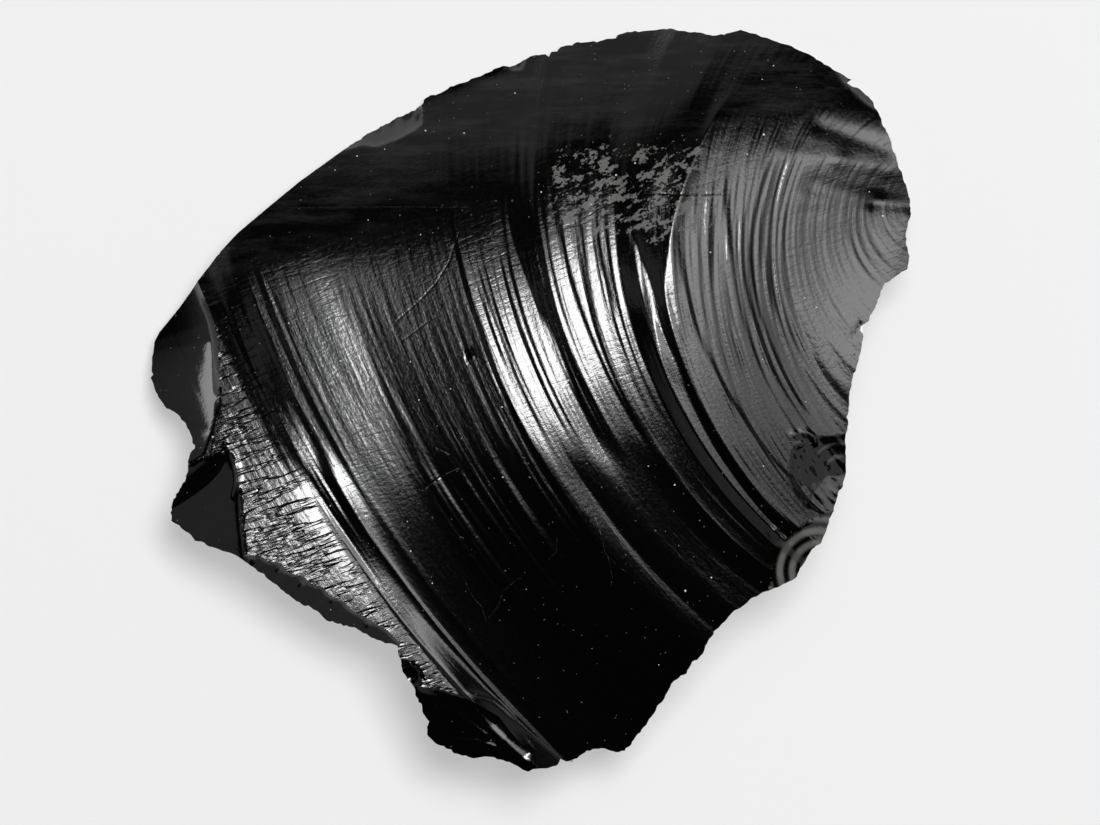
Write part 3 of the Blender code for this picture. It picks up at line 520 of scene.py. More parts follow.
# %% The upper side
# the line where the roll begins, how steep it gets, how softly
ROLL_X = [-45.0, -39.0, -25.0, -11.0, 4.0, 24.0, 42.0, 52.0]
ROLL_Y = [14.0, 18.9, 23.4, 29.0, 34.0, 36.0, 34.6, 33.0]
ROLL_SLOPE, ROLL_SOFT = 0.15, 2.5
EDGE_HEIGHT, EDGE_SHARPNESS = 0.8, 1.8       # least height of the face, how sharply it takes over
LEAST_OF_EDGE = 0.55             # share of that height that no chip or scratch cuts below


def upper(x, y):
    """Height of the upper side, and the crack coordinates and chip depth there."""
    d, s = crack_coordinates(x, y)
    z = height_along(d, s) + np.interp(d, TABLE, TAB_BOW) * s
    z -= np.interp(d, TABLE, TAB_TURN) * s * s / 2
    beyond = (y - np.interp(x, ROLL_X, ROLL_Y)) / ROLL_SOFT
    z += swells(x, y) - ROLL_SLOPE * ROLL_SOFT * np.logaddexp(0.0, beyond)
    z = EDGE_HEIGHT + np.logaddexp(0.0, EDGE_SHARPNESS * (z - EDGE_HEIGHT)) / EDGE_SHARPNESS
    cut = chip_depth(x, y)
    pit_rim = PIT_RIM * np.clip(1 - line_distance(x, y, PIT, True) / PIT_RIM_HALF, 0, 1)
    cut = cut + pit_rim + PIT_FLOOR * inside(x, y, PIT)
    return np.maximum(z - cut - scratch_marks(x, y)[0], LEAST_OF_EDGE * EDGE_HEIGHT), d, s, cut


print("height at the strike point, mm: %.1f" % upper(*np.array(STRIKE)[:, None])[0][0])

# %% [markdown]
# ## The underside
#
# Below, the flake keeps one flat old break to rest on.  Later flakes left round scoops
# that cut into it and climb to the rim.

# %% Underside scoops
# middle, radius, climb, extra hollow of each scoop
SCOOPS = [
    (-85.0, 2.0, 52.0, 0.52, 0.7), (-62.0, -62.0, 62.0, 0.84, 1.1), (-30.0, -85.0, 52.0, 1.20, 0.9),
    (8.0, -100.0, 64.0, 0.92, 1.2), (60.0, -62.0, 58.0, 1.08, 1.0), (92.0, -15.0, 63.0, 1.05, 1.2),
    (95.0, 28.0, 60.0, 0.72, 0.9), (75.0, 70.0, 52.0, 0.62, 0.6), (-80.0, 50.0, 58.0, 0.32, 0.3),
    (10.0, 130.0, 92.0, 0.05, 0.0)]
SCOOP_SPAN = 15.0                # reach of the extra hollow
SCOOP_RIPPLE, SCOOP_WAVE, SCOOP_LIP = 0.10, 3.4, 3       # ripple height and length, run before they start
BLADE = 0.65                     # how fast the glass thickens in from the rim


def under(x, y, top, rim_gap):
    """Height of the underside: flat base, ripple-marked scoops, thin at the rim."""
    z = np.zeros(x.shape)
    for cx, cy, radius, climb, hollow in SCOOPS:
        out = radius - np.hypot(x - cx, y - cy)
        rise = climb * out + hollow * np.sin(np.pi * np.clip(out / SCOOP_SPAN, 0, 1))
        wave = SCOOP_RIPPLE * np.sin(2 * np.pi * out / SCOOP_WAVE)
        rise += wave * np.clip(out / SCOOP_LIP, 0, 1) * min(1, 2 * climb)
        z = np.maximum(z, np.where(out > 0, rise, 0))
    return np.minimum(z, np.maximum(top - BLADE * rim_gap, 0.0))


print("scoops:", len(SCOOPS))

# %% [markdown]
# ## The mesh
#
# A ripple keeps its edge only if the mesh runs along it, which a plain grid or a voxel
# remesh doesn't.  So the points lie on the crack fronts, close together across the run and
# further apart along each front, and they are tied along the fronts before the gaps are
# filled with triangles.  The rim comes first, cut into short runs and made slightly ragged.

# %% The rim
RIM_STEP = 0.45
RAGGED, RAGGED_FEATHER = 0.10, 0.015     # how far the rim wanders, and the thin edge
OWN_SHARE, NEXT_SHARE, NICKED = 0.6, 0.4, 0.12       # own and neighbour's chance, and rare deep nicks
FEATHER_X, FEATHER_Y = -26, 6    # the thin edge lies left of and above these


def split_line(line, step, closed=False):
    """Cut straight runs so none is longer than the step."""
    ends = line[1:] + line[:1] if closed else line[1:]
    made = []
    for a, b in zip(line, ends):
        count = max(1, int(np.ceil(np.hypot(b[0] - a[0], b[1] - a[1]) / step)))
        made += [(a[0] + k / count * (b[0] - a[0]), a[1] + k / count * (b[1] - a[1])) for k in range(count)]
    return made if closed else made + [line[-1]]


rim = np.array(split_line(OUTLINE, RIM_STEP, closed=True))
RIM_COUNT = len(rim)
along = np.roll(rim, -2, axis=0) - np.roll(rim, 2, axis=0)
outward = np.column_stack([-along[:, 1], along[:, 0]]) / np.hypot(along[:, 0], along[:, 1])[:, None]
ragged = CHANCE.normal(0, 1, RIM_COUNT)
nicks = np.abs(CHANCE.normal(0, 1, RIM_COUNT)) ** 3
ragged = OWN_SHARE * ragged + NEXT_SHARE * np.roll(ragged, 1) - nicks * NICKED
feather = (rim[:, 0] < FEATHER_X) & (rim[:, 1] > FEATHER_Y)
rim += outward * (ragged * np.where(feather, RAGGED_FEATHER, RAGGED))[:, None]
RIM = [(float(x), float(y)) for x, y in rim]
print("points on the rim:", RIM_COUNT)

# %% [markdown]
# ## Points for scratches, creases and chips
#
# These go in before the fronts, because a point is only taken if nothing is too near it, and
# the small sharp features should win.

# %% Points for scratches, creases and chips
SCRATCH_STEP, SCRATCH_SIDE, SCRATCH_GAP = 0.3, 0.07, 0.05        # points beside a scratch, their least gap
CREASE_STEP, CREASE_GAP, CHIP_STEP, CHIP_GAP_SHARE = 0.4, 0.15, 0.28, 0.8
RIM_GAP, RIM_CLEAR = 0.01, 0.2
CELL = 0.2                       # near points are looked for in cells this wide


class Sprinkler:
    """Collects mesh points that keep a least distance from one another."""

    def __init__(self, gap):
        self.gap, self.cells, self.points = gap, {}, []

    def add(self, x, y, gap):
        i, j = math.floor(x / self.gap), math.floor(y / self.gap)
        reach = math.ceil(gap / self.gap)
        for p in range(i - reach, i + reach + 1):
            for q in range(j - reach, j + reach + 1):
                for k in self.cells.get((p, q), ()):
                    px, py = self.points[k]
                    if (px - x) ** 2 + (py - y) ** 2 < gap * gap:
                        return -1
        self.points.append((x, y))
        self.cells.setdefault((i, j), []).append(len(self.points) - 1)
        return len(self.points) - 1


def add_run(cloud, ties, x, y, keep, gap):
    """Lay the kept points of a line and tie neighbours together."""
    last, last_at = -1, -9
    for k in np.nonzero(keep)[0]:
        here = cloud.add(float(x[k]), float(y[k]), gap)
        if here >= 0 and last >= 0 and k == last_at + 1:
            ties.append((last, here))
        last, last_at = here, k


def staggered_grid(low_x, high_x, low_y, high_y, step, row_step):
    """Points in rows, every other row moved by half a step."""
    gx, gy = np.meshgrid(np.arange(low_x, high_x, step), np.arange(low_y, high_y, row_step))
    gx[::2] += step / 2
    return gx.ravel(), gy.ravel()


cloud, ties = Sprinkler(CELL), []
for x, y in RIM:
    cloud.add(x, y, RIM_GAP)
for line, _, _ in SCRATCHES:
    line = np.array(split_line(line, SCRATCH_STEP))
    way = np.roll(line, -1, axis=0) - line
    way[-1] = way[-2]
    side = np.column_stack([-way[:, 1], way[:, 0]]) / np.hypot(way[:, 0], way[:, 1])[:, None]
    for away in (-SCRATCH_SIDE, 0.0, SCRATCH_SIDE):
        x, y = line[:, 0] + away * side[:, 0], line[:, 1] + away * side[:, 1]
        add_run(cloud, ties, x, y, np.ones(len(line), bool), SCRATCH_GAP)
for crease, *_ in CHIPS.values():
    line = np.array(split_line(crease, CREASE_STEP))
    keep = inside(line[:, 0], line[:, 1], RIM)
    keep &= line_distance(line[:, 0], line[:, 1], RIM, True) > CREASE_GAP
    add_run(cloud, ties, line[:, 0], line[:, 1], keep, CREASE_GAP)
for chip in CHIPS.values():
    ring = chip_ring(*chip)
    corner = np.array(ring)
    gx, gy = staggered_grid(corner[:, 0].min(), corner[:, 0].max(), corner[:, 1].min(), corner[:, 1].max(),
                            CHIP_STEP, CHIP_STEP)
    keep = inside(gx, gy, ring) & inside(gx, gy, RIM)
    gx, gy = gx[keep], gy[keep]
    keep = (line_distance(gx, gy, RIM, True) > RIM_CLEAR) & (line_distance(gx, gy, chip[0]) > CREASE_GAP)
    for x, y in zip(gx[keep], gy[keep]):
        cloud.add(float(x), float(y), CHIP_GAP_SHARE * CHIP_STEP)
print("points for small features:", len(cloud.points) - RIM_COUNT)

# %% [markdown]
# ## Points along the fronts
#
# One front every fifth of a millimetre, each an arc with its points tied in a row.  Every
# other front is moved by half a step, so that the triangles between them come out even.

# %% Points along the fronts
FRONT_STEP, ARC_STEP, FRONT_GAP = 0.20, 0.60, 0.13
FIRST_FRONT, HALF_ARC, LARGEST_TURN, FEWEST = 0.9, 75.0, 2.6, 5
OWN_RUN, CREASE_CLEAR = 0.03, 0.18       # a point must lie on its own front, and off the creases
for number, d in enumerate(np.arange(FIRST_FRONT, LAST_RUN, FRONT_STEP)):
    cx, cy, r = front_circle(d)
    half = min(HALF_ARC / r, LARGEST_TURN)
    count = max(FEWEST, int(2 * half * r / ARC_STEP))
    turn = front_start(d, cx, cy) + np.linspace(-half, half, count) + (number % 2) * half / count
    x, y = cx + r * np.cos(turn), cy + r * np.sin(turn)
    keep = inside(x, y, RIM)
    x, y = x[keep], y[keep]
    own, _ = crack_coordinates(x, y)
    keep = (np.abs(own - d) < OWN_RUN) & (line_distance(x, y, RIM, True) > RIM_CLEAR)
    for chip in CHIPS.values():
        keep &= ~inside(x, y, chip_ring(*chip))
        keep &= line_distance(x, y, chip[0]) > CREASE_CLEAR
    add_run(cloud, ties, x, y, keep, FRONT_GAP)
print("points on the upper side:", len(cloud.points))

# %% [markdown]
# ## Points on the underside
#
# Nothing fine shows below, so the points are wider apart: rings round each scoop's middle,
# then a plain grid for the rest.

# %% Points on the underside
UNDER_STEP, RING_STEP, LAST_RING = 1.2, 0.85, 16.0
UNDER_GAP, UNDER_RIM_CLEAR, GRID_GAP, GRID_RIM_CLEAR = 0.5, 0.4, 0.75, 0.5
GRID_HALF, ROW_SHARE, SCOOP_TIE = 54, 0.87, 0.02
below = Sprinkler(2 * CELL)
for x, y in RIM:
    below.add(x, y, RIM_GAP)
under_ties = []
for number, (cx, cy, radius, climb, _) in enumerate(SCOOPS):
    for out in np.arange(0.0, LAST_RING, RING_STEP):
        turn = np.arange(0, 2 * np.pi, UNDER_STEP / (radius - out))
        x, y = cx + (radius - out) * np.cos(turn), cy + (radius - out) * np.sin(turn)
        keep = inside(x, y, RIM)
        keep &= line_distance(x, y, RIM, True) > UNDER_RIM_CLEAR
        for k, (ox, oy, other, slope, _) in enumerate(SCOOPS):
            if k != number:
                keep &= slope * (other - np.hypot(x - ox, y - oy)) < climb * out + SCOOP_TIE
        add_run(below, under_ties, x, y, keep, UNDER_GAP)
gx, gy = staggered_grid(-GRID_HALF, GRID_HALF, -GRID_HALF, GRID_HALF, UNDER_STEP, UNDER_STEP * ROW_SHARE)
keep = inside(gx, gy, RIM)
gx, gy = gx[keep], gy[keep]
keep = line_distance(gx, gy, RIM, True) > GRID_RIM_CLEAR
for x, y in zip(gx[keep], gy[keep]):
    below.add(float(x), float(y), GRID_GAP)
print("points on the underside:", len(below.points))

# %% [markdown]
# ## Filling with triangles
#
# A Delaunay triangulation fills each side, keeps the tied lines as edges and stays inside
# the rim.  Both sides share the rim's points, so joining them gives one closed body.

# %% Fill with triangles and join the two sides
NEARNESS = 1e-5                  # points nearer than this are taken as one
SHARP_ANGLE = 38


def triangulate(points, edges, rim_count):
    """Fill the rim loop with triangles through the points and along the edges."""
    rim_face = [list(range(rim_count))[::-1]]
    spots, _, tris, sources, _, owners = delaunay_2d_cdt(
        [Vector(p) for p in points], edges, rim_face, 0, NEARNESS, True)
    tris = [tri for tri, owner in zip(tris, owners) if owner]
    place, free = {}, rim_count
    for k, source in enumerate(sources):
        on_rim = [i for i in source if i < rim_count]
        place[k] = on_rim[0] if on_rim else free
        free += not on_rim
    made = np.zeros((free, 2))
    for k, spot in enumerate(spots):
        made[place[k]] = points[place[k]] if place[k] < rim_count else tuple(spot)
    return made, [tuple(place[i] for i in tri) for tri in tris]


plan, top_faces = triangulate(cloud.points, ties, RIM_COUNT)
top_z, run, across, cut = upper(plan[:, 0], plan[:, 1])
flat, low_faces = triangulate(below.points, under_ties, RIM_COUNT)
gap = line_distance(flat[:, 0], flat[:, 1], RIM, True)
low_z = under(flat[:, 0], flat[:, 1], upper(flat[:, 0], flat[:, 1])[0], gap)
points = np.vstack([np.column_stack([plan, top_z]),
                    np.column_stack([flat[RIM_COUNT:], low_z[RIM_COUNT:]])])
shift = len(plan) - RIM_COUNT
faces = top_faces + [tuple(k if k < RIM_COUNT else k + shift for k in reversed(f)) for f in low_faces]
corner = np.array(RIM)
middle = (corner.min(axis=0) + corner.max(axis=0)) / 2
points[:, :2] -= middle
mesh = bpy.data.meshes.new("volcanic_glass_chunk")
mesh.from_pydata((points * MM).tolist(), [], faces)
mesh.update()
mesh.polygons.foreach_set("use_smooth", [True] * len(mesh.polygons))
mesh.set_sharp_from_angle(angle=math.radians(SHARP_ANGLE))
chunk = bpy.data.objects.new("volcanic_glass_chunk", mesh)
bpy.context.scene.collection.objects.link(chunk)
print("triangles: %d, middle of the rim at %.1f, %.1f mm" % (len(faces), *middle))

# %% [markdown]
# ## What the glass has to know
#
# The fine finish differs from place to place: hackle lines cross the fronts near the far
# end, a dull film clings to one area, the rolled band gets a painted sheen, fresh chips
# are smoother.
# Each is a number kept at every point of the mesh, which the material reads.

# %% Numbers kept at each point
# run, and how strong the hackle is there
HACKLE_AT = [0, 40, 45, 60, 76, 79, 90, 93, 95, 118]
HACKLE = [0.10, 0.08, 0.12, 0.12, 0.05, 0.14, 0.18, 0.4, 1.0, 1.0]
HACKLE_EVEN_FROM = 93            # before this run the hackle keeps to the upper part of the front
HACKLE_SIDE, HACKLE_SIDE_SOFT, HACKLE_LOST = 11, 2.0, 0.9
# the third number sets how softly the band with the painted sheen begins past the roll line
CHIPPED, ROLL_LIMIT, SHEEN_LIMIT, FRESH_PER_MM = 0.02, 1.5, 2.0, 8
FROSTED, FROSTED_SPACING = (39.8, -25.6), 1.7        # bruised rings in the shell chip
FROSTED_MEAN, FROSTED_SWING = 0.5, 0.9
SCALY_X, SCALY_Y = (1.0, 28.5), (17.5, 36.5)         # where the film clings
SCALY_PEAK, SCALY_SLANT, SCALY_SOFT, SCALY_LEFT_SOFT = 19, 0.20, 1.2, 0.8
x, y = plan[:, 0], plan[:, 1]
roll_line = np.interp(x, ROLL_X, ROLL_Y)
hackle = np.interp(run, HACKLE_AT, HACKLE) * (cut < CHIPPED) * step_up(roll_line - y, ROLL_LIMIT)
lower_side = step_up(across - HACKLE_SIDE, HACKLE_SIDE_SOFT)
hackle *= np.where(run < HACKLE_EVEN_FROM, 1 - HACKLE_LOST * lower_side, 1)
scaly = step_up(y - SCALY_Y[0] - SCALY_SLANT * np.abs(x - SCALY_PEAK), SCALY_SOFT)
scaly = scaly * step_up(SCALY_Y[1] - y, SCALY_SOFT)
scaly *= step_up(x - SCALY_X[0], SCALY_LEFT_SOFT) * step_up(SCALY_X[1] - x, SCALY_SOFT)
frosted_ring = np.hypot(x - FROSTED[0], y - FROSTED[1])
frosted_wave = FROSTED_SWING * np.sin(2 * np.pi * frosted_ring / FROSTED_SPACING)
in_shell_chip = inside(x, y, chip_ring(*CHIPS["shell chip"]))
# the band past the roll line gets a painted sheen: a paler grey that stands in for light on it
POINT_NUMBERS = {
    "run": run, "across": across, "hackle": hackle, "scaly": scaly, "painted_sheen_band": step_up(y - roll_line, SHEEN_LIMIT),
    "crushed": scratch_marks(x, y)[1],
    "frosted": in_shell_chip * np.clip(FROSTED_MEAN + frosted_wave, 0, 1),
    "fresh": np.clip(cut * FRESH_PER_MM, 0, 1)}
below_count = len(points) - len(plan)
for name, values in POINT_NUMBERS.items():
    layer = mesh.attributes.new(name, "FLOAT", "POINT")
    underside = np.full(below_count, 1.0 if name == "fresh" else 0.0)
    layer.data.foreach_set("value", np.concatenate([values, underside]).astype(np.float32))
    print("%-8s %.2f to %.2f" % (name, values.min(), values.max()))

# %% [markdown]
# ## The glass
#
# Obsidian is a dielectric: clear glass made black by fine magnetite.  What shows is almost
# only its surface reflection, about four parts in a hundred head-on.  A break needs no polish
# to be glossy, so the roughness is about 0.12 on the old face and 0.08 in the fresh chips.

# %% Colours, and one function that adds a node
# the third grey colours the film and also the painted sheen on the rolled band
OBSIDIAN, DUST, FILM_AND_SHEEN = "#030303", "#B4B4B2", "#4A4A49"
GLASS_IOR = 1.49
MATH, NOISE, VORONOI, MIX = "ShaderNodeMath", "ShaderNodeTexNoise", "ShaderNodeTexVoronoi", "ShaderNodeMix"
SCALED = "ShaderNodeVectorMath"


def linear(hex_colour):
    """sRGB hex to the linear colour a shader wants."""
    parts = [int(hex_colour[k:k + 2], 16) / 255 for k in (1, 3, 5)]
    return tuple(p / 12.92 if p <= 0.04045 else ((p + 0.055) / 1.055) ** 2.4 for p in parts) + (1.0,)


def add(tree, kind, inputs=None, **settings):
    """Add one node.  An input is a value, a socket, or a node whose first output is meant."""
    node = tree.nodes.new(kind)
    for name, value in settings.items():
        setattr(node, name, value)
    for name, value in (inputs or {}).items():
        if isinstance(value, bpy.types.Node):
            value = value.outputs[0]
        if isinstance(value, bpy.types.NodeSocket):
            tree.links.new(value, node.inputs[name])
        else:
            node.inputs[name].default_value = value
    return node


glass = bpy.data.materials.new("volcanic_glass_conchoidal")
glass.use_nodes = True
tree = glass.node_tree
shader = tree.nodes["Principled BSDF"]
shader.inputs["IOR"].default_value = GLASS_IOR
kept = {}
for name in POINT_NUMBERS:
    kept[name] = add(tree, "ShaderNodeAttribute", attribute_name=name).outputs["Fac"]
along_front = add(tree, "ShaderNodeCombineXYZ", {0: kept["run"], 1: kept["across"]})
corner_place = add(tree, "ShaderNodeTexCoord").outputs["Object"]
place = add(tree, SCALED, {0: corner_place, 1: (1000.0, 1000.0, 1000.0)}, operation="MULTIPLY")      # in mm
print("numbers read by the glass:", ", ".join(kept))

# %% [markdown]
# ## Relief too fine for the mesh
#
# Three reliefs, in mm, too shallow to change the outline: trembling across the run, hackle
# lines along it, and a worn grain.  Real grain is finer than a tenth of a millimetre and
# would not show, so it is drawn about half a millimetre wide.

# %% Fine relief
RIPPLE_PER_MM, HACKLE_PER_MM, GRAIN_PER_MM = (1.7, 0.10, 0.0), (0.10, 0.55, 0.0), 1.9
RIPPLE_RELIEF, HACKLE_RELIEF, GRAIN_RELIEF, LEAST_GRAIN = 0.022, 0.05, 0.016, 0.004
FRESH_SMOOTHER = 0.6             # share of the relief that a fresh chip lacks
NOISE_MIDDLE, STREAK_GAIN = 0.5, 14.0        # a hackle line is where the noise crosses its middle
ripple_place = add(tree, SCALED, {0: along_front, 1: RIPPLE_PER_MM}, operation="MULTIPLY")
ripple = add(tree, NOISE, {"Vector": ripple_place, "Scale": 1.0, "Detail": 3.0, "Roughness": 0.6})
hackle_place = add(tree, SCALED, {0: along_front, 1: HACKLE_PER_MM}, operation="MULTIPLY")
streak = add(tree, NOISE, {"Vector": hackle_place, "Scale": 1.0, "Detail": 3.0, "Roughness": 0.55})
streak = add(tree, MATH, {0: streak, 1: NOISE_MIDDLE}, operation="SUBTRACT")
streak = add(tree, MATH, {0: streak}, operation="ABSOLUTE")
streak = add(tree, MATH, {0: streak, 1: STREAK_GAIN}, operation="MULTIPLY")
streak = add(tree, MATH, {0: streak, 1: 1.0}, operation="MINIMUM")
grain = add(tree, NOISE, {"Vector": place, "Scale": GRAIN_PER_MM, "Detail": 3.0, "Roughness": 0.6})
worn = add(tree, MATH, {0: kept["fresh"], 1: FRESH_SMOOTHER}, operation="MULTIPLY")
worn = add(tree, MATH, {0: 1.0, 1: worn}, operation="SUBTRACT")
height = add(tree, MATH, {0: ripple, 1: RIPPLE_RELIEF}, operation="MULTIPLY")
height = add(tree, MATH, {0: height, 1: worn}, operation="MULTIPLY")
hackle_relief = add(tree, MATH, {0: kept["hackle"], 1: HACKLE_RELIEF}, operation="MULTIPLY")
height = add(tree, MATH, {0: streak, 1: hackle_relief, 2: height}, operation="MULTIPLY_ADD")
grain_relief = add(tree, MATH, {0: worn, 1: GRAIN_RELIEF, 2: LEAST_GRAIN}, operation="MULTIPLY_ADD")
height = add(tree, MATH, {0: grain, 1: grain_relief, 2: height}, operation="MULTIPLY_ADD")
bump = add(tree, "ShaderNodeBump", {"Height": height, "Strength": 1.0, "Distance": MM})
tree.links.new(bump.outputs[0], shader.inputs["Normal"])
print("relief nodes:", len(tree.nodes))

# %% [markdown]
# ## Film, crushed glass and a painted sheen
#
# A dull film clings in slanted patches, and scratches hold crushed glass in broken lines.
# A faint pale sheen is painted on the rolled band and stands in for light on it.  All are
# paler and rougher than glass, so each is a share from 0 to 1, and where they overlap the
# largest share wins.

# %% Film, crushed glass and painted sheen
FILM_SLANT, FILM_PER_MM = -35, (0.36, 0.74, 0.0)
FILM_START, FILM_BY_SCALY, FILM_CONTRAST = -1.010, 0.42, 24.0
COARSE_SHARE, FINER_SHARE, FINER_PER_MM = 0.8, 0.35, 2.2
CRUSHED_FROM, CRUSHED_GAIN = 0.40, 3.5
# the last three numbers set the painted sheen on the rolled band: its noise scale, threshold and strength
SHEEN_PER_MM, SHEEN_FROM, SHEEN_GAIN = (0.07, 0.35, 0.0), 0.46, 0.7
rotated = add(tree, "ShaderNodeVectorRotate", {"Vector": place, "Angle": math.radians(FILM_SLANT)},
              rotation_type="Z_AXIS")
patch_place = add(tree, SCALED, {0: rotated, 1: FILM_PER_MM}, operation="MULTIPLY")
patch = add(tree, NOISE, {"Vector": patch_place, "Scale": 1.0, "Detail": 5.0, "Roughness": 0.62})
patch = add(tree, MATH, {0: patch, 1: COARSE_SHARE}, operation="MULTIPLY")
finer = add(tree, NOISE, {"Vector": place, "Scale": FINER_PER_MM, "Detail": 3.0, "Roughness": 0.6})
patch = add(tree, MATH, {0: finer, 1: FINER_SHARE, 2: patch}, operation="MULTIPLY_ADD")
scaly_share = add(tree, MATH, {0: kept["scaly"], 1: FILM_BY_SCALY, 2: FILM_START}, operation="MULTIPLY_ADD")
patch = add(tree, MATH, {0: patch, 1: scaly_share}, operation="ADD")
film_and_sheen = add(tree, MATH, {0: patch, 1: FILM_CONTRAST}, operation="MULTIPLY")
film_and_sheen = add(tree, MATH, {0: film_and_sheen, 1: 0.0}, operation="MAXIMUM")
film_and_sheen = add(tree, MATH, {0: film_and_sheen, 1: 1.0}, operation="MINIMUM")
broken = add(tree, MATH, {0: finer, 1: CRUSHED_FROM}, operation="SUBTRACT")
broken = add(tree, MATH, {0: broken, 1: 0.0}, operation="MAXIMUM")
broken = add(tree, MATH, {0: broken, 1: CRUSHED_GAIN}, operation="MULTIPLY")
broken = add(tree, MATH, {0: kept["crushed"], 1: broken}, operation="MULTIPLY")
# painted sheen: paler, rougher patches on the rolled band that stand in for light on it
sheen_place = add(tree, SCALED, {0: place, 1: SHEEN_PER_MM}, operation="MULTIPLY")
painted_sheen = add(tree, NOISE, {"Vector": sheen_place, "Scale": 1.0, "Detail": 6.0, "Roughness": 0.75})
painted_sheen = add(tree, MATH, {0: painted_sheen, 1: SHEEN_FROM}, operation="SUBTRACT")
painted_sheen = add(tree, MATH, {0: painted_sheen, 1: 0.0}, operation="MAXIMUM")
painted_sheen = add(tree, MATH, {0: painted_sheen, 1: SHEEN_GAIN}, operation="MULTIPLY")
painted_sheen = add(tree, MATH, {0: painted_sheen, 1: kept["painted_sheen_band"]}, operation="MULTIPLY")
print("film grows over patches about %.0f mm long" % (1 / FILM_PER_MM[0]))

# %% [markdown]
# ## Dust
#
# Lint and dust are dots, so each size is a field of cells with a dot in some of them.  The
# cells' own random colours pick which cells have one, how large it is and how pale.

# %% Dust
# cells per mm, least radius, further radius, share of the cells left empty
SPECKS, TINY_DUST = (0.55, 0.03, 0.06, 0.55), (1.5, 0.05, 0.10, 0.6)
dots = []
for per_mm, least, further, empty in (SPECKS, TINY_DUST):
    cell_place = add(tree, SCALED, {0: place, 1: (per_mm, per_mm, 0.0)}, operation="MULTIPLY")
    cells = add(tree, VORONOI, {"Vector": cell_place, "Scale": 1.0})
    pick = add(tree, "ShaderNodeSeparateColor", {0: cells.outputs["Color"]})
    radius = add(tree, MATH, {0: pick.outputs[1], 1: further, 2: least}, operation="MULTIPLY_ADD")
    dot = add(tree, MATH, {0: cells.outputs["Distance"], 1: radius}, operation="LESS_THAN")
    chosen = add(tree, MATH, {0: pick.outputs[0], 1: empty}, operation="GREATER_THAN")
    dot = add(tree, MATH, {0: dot, 1: chosen}, operation="MULTIPLY")
    dots.append((dot, add(tree, MATH, {0: dot, 1: pick.outputs[2]}, operation="MULTIPLY")))
(dust, pale_dust), (_, pale_tiny_dust) = dots
# the painted sheen of the rolled band joins the film, crushed glass and dust in one share
for share in (broken, kept["frosted"], pale_tiny_dust, painted_sheen):
    film_and_sheen = add(tree, MATH, {0: film_and_sheen, 1: share}, operation="MAXIMUM")
print("dust cells are %.1f and %.1f mm wide" % (1 / SPECKS[0], 1 / TINY_DUST[0]))

# %% [markdown]
# ## Colour and roughness
#
# The shares are mixed into the glass: pale dust first, then the film and the painted sheen
# over it.  Only the colour and the roughness change, because dust and film are thin layers on
# one kind of surface, and the sheen is painted in the same way.

# %% Colour and roughness
SMOOTH_GLASS, GRAIN_ROUGHER, FRESH_GLOSS, DUSTY_ROUGHER = 0.05, 0.14, -0.04, 0.5
colour = add(tree, MIX, {0: pale_dust, 6: linear(OBSIDIAN), 7: linear(DUST)}, data_type="RGBA")
# the same grey paints the film and the sheen on the rolled band
film_and_sheen_colour = add(tree, MIX, {0: film_and_sheen, 6: colour.outputs[2], 7: linear(FILM_AND_SHEEN)}, data_type="RGBA")
tree.links.new(film_and_sheen_colour.outputs[2], shader.inputs["Base Color"])
matt = add(tree, MATH, {0: kept["fresh"], 1: FRESH_GLOSS, 2: SMOOTH_GLASS}, operation="MULTIPLY_ADD")
matt = add(tree, MATH, {0: grain, 1: GRAIN_ROUGHER, 2: matt}, operation="MULTIPLY_ADD")
matt = add(tree, MATH, {0: dust, 1: DUSTY_ROUGHER, 2: matt}, operation="MULTIPLY_ADD")
matt = add(tree, MATH, {0: film_and_sheen, 1: DUSTY_ROUGHER, 2: matt}, operation="MULTIPLY_ADD")
tree.links.new(matt.outputs[0], shader.inputs["Roughness"])
mesh.materials.append(glass)
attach(chunk, "root")
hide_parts("obsidian_chunk")
print("nodes in the glass:", len(tree.nodes))

# %% [markdown]
# ## The floor
#
# A plain sheet of pale paper.  It glows a little, which stands for the light that a pale
# room throws back on it from all sides, and keeps the shadow soft and light.

# %% Floor
PAPER, PAPER_GLOW, PAPER_ROUGHNESS, FLOOR_HALF = "#9C9C9C", 0.47, 0.9, 3
floor_mesh = bpy.data.meshes.new("floor")
floor_corners = [(x * FLOOR_HALF, y * FLOOR_HALF, 0) for x, y in ((-1, -1), (1, -1), (1, 1), (-1, 1))]
floor_mesh.from_pydata(floor_corners, [], [(0, 1, 2, 3)])
floor = bpy.data.objects.new("floor", floor_mesh)
bpy.context.scene.collection.objects.link(floor)
paper = bpy.data.materials.new("pale_paper")
paper.use_nodes = True
for name, value in (("Base Color", linear(PAPER)), ("Emission Color", (1.0, 1.0, 1.0, 1.0)),
                    ("Emission Strength", PAPER_GLOW), ("Roughness", PAPER_ROUGHNESS)):
    paper.node_tree.nodes["Principled BSDF"].inputs[name].default_value = value
floor_mesh.materials.append(paper)
print("floor is %d m wide" % (2 * FLOOR_HALF))

# %% [markdown]
# ## The lights
#
# Black glass shows its surroundings more than itself, so the lamps are shapes in the glass:
# a bright window with a dimmer frame high behind the chunk, a stack of large dim panels to
# its right, a small card and a low panel to its left.  They light nothing but the glass.
# The fill does the opposite: it makes the shadow on the floor and is not seen in the glass.

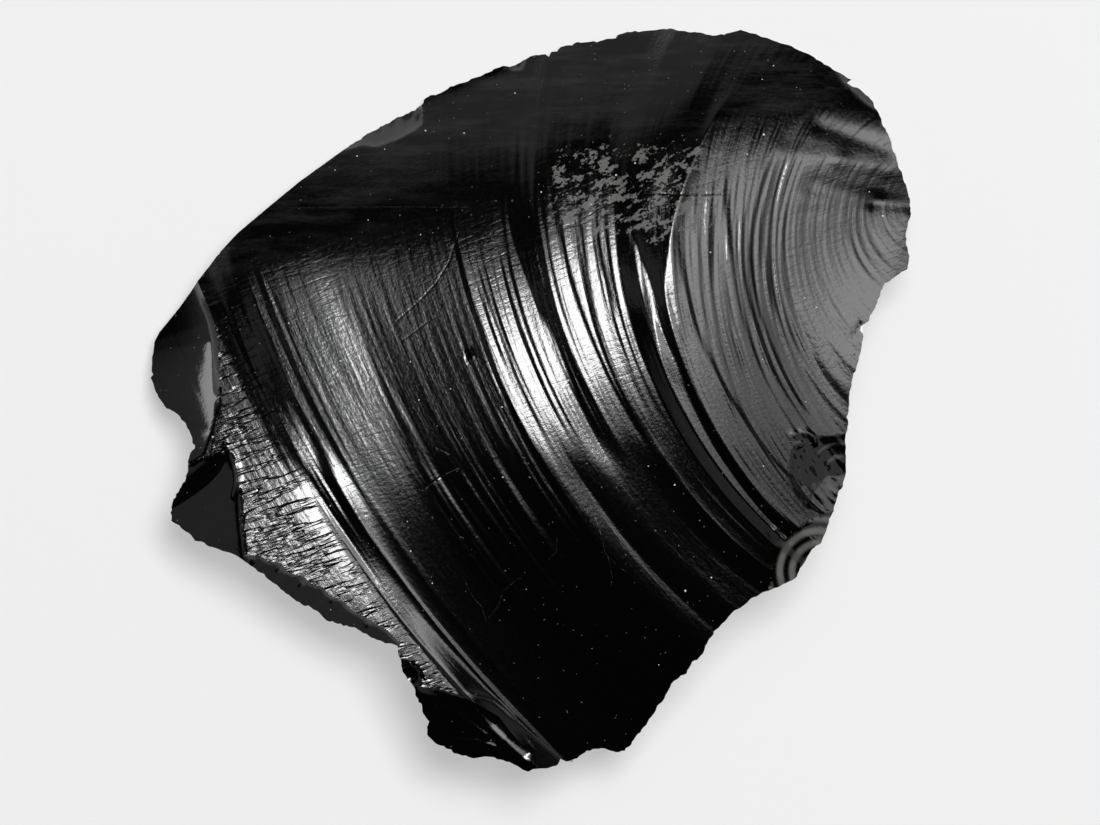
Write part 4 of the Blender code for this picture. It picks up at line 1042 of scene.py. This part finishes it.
# %% Lights
def lamp(name, azimuth, zenith, distance, wide, high, radiance, seen_in_glass=True):
    """A flat lamp aimed at the chunk, given by the radiance its face shows."""
    a, z = math.radians(azimuth), math.radians(zenith)
    way = Vector((math.cos(a) * math.sin(z), math.sin(a) * math.sin(z), math.cos(z)))
    light = bpy.data.lights.new(name, "AREA")
    light.shape = "RECTANGLE"
    light.size, light.size_y = wide, high
    light.energy = radiance * math.pi * wide * high
    obj = bpy.data.objects.new(name, light)
    obj.location = way * distance
    obj.rotation_euler = way.to_track_quat("Z", "Y").to_euler()
    obj.visible_glossy = seen_in_glass
    obj.visible_diffuse = not seen_in_glass
    bpy.context.scene.collection.objects.link(obj)
    return obj


# degrees round from +X, degrees down from straight above, metres away, width, height, radiance
lamp("window", 97, 25, 0.8, 0.22, 0.22, 26.0)
lamp("window_frame", 97, 25, 0.84, 0.42, 0.42, 3.0)
lamp("right_panel", 48, 34, 1.2, 0.62, 0.50, 1.5)
lamp("right_middle", 51, 33, 1.17, 0.40, 0.36, 1.7)
lamp("right_core", 54, 31, 1.14, 0.28, 0.25, 2.8)
lamp("right_low", 16, 44, 1.2, 0.50, 0.50, 0.7)
lamp("left_card", 151, 41, 1.2, 0.26, 0.26, 0.35)
lamp("left_low", 148, 88, 1.15, 0.36, 0.36, 4.5)
lamp("fill", 40, 12, 1.3, 0.50, 0.50, 25.5, seen_in_glass=False)

# %% [markdown]
# ## Pale walls
#
# The room shows as a pale band near the horizon that fades to dark higher up, where the
# lamps stand for everything that is bright.

# %% Pale walls
WALL_LIGHT, WALL_TOP = 0.34, (0.34, 0.53)      # radiance, and sines of the heights where it fades
world = bpy.data.worlds.new("pale_room_walls")
world.use_nodes = True
room = world.node_tree
direction = add(room, "ShaderNodeTexCoord").outputs["Generated"]
up = add(room, "ShaderNodeSeparateXYZ", {0: direction}).outputs[2]
walls = add(room, "ShaderNodeMapRange", {
    0: up, "From Min": WALL_TOP[0], "From Max": WALL_TOP[1], "To Min": WALL_LIGHT, "To Max": 0.0})
room.links.new(walls.outputs[0], room.nodes["Background"].inputs["Strength"])
room.nodes["Background"].inputs["Color"].default_value = (1.0, 1.0, 1.0, 1.0)
bpy.context.scene.world = world
bpy.context.scene.view_settings.view_transform = "Standard"
print("walls fade between %.0f and %.0f degrees" % tuple(math.degrees(math.asin(s)) for s in WALL_TOP))

# %% [markdown]
# ## The camera
#
# The camera looks down almost straight, five degrees off, from far enough that the flake's
# shape isn't stretched by perspective.

# %% Camera
ELEVATION, DISTANCE, FRAME_WIDTH, SENSOR = 85.0, 1.1, 0.154, 36.0
target = Vector((0.00276, -0.00138, 0.0))
e = math.radians(ELEVATION)
camera_data = bpy.data.cameras.new("camera")
camera_data.sensor_width = SENSOR
camera_data.lens = SENSOR * DISTANCE / FRAME_WIDTH
camera = bpy.data.objects.new("camera", camera_data)
camera.location = target + Vector((0.0, -math.cos(e), math.sin(e))) * DISTANCE
camera.rotation_euler = (math.radians(90.0) - e, 0.0, 0.0)
bpy.context.scene.collection.objects.link(camera)
bpy.context.scene.camera = camera
print("lens: %.0f mm" % camera_data.lens)
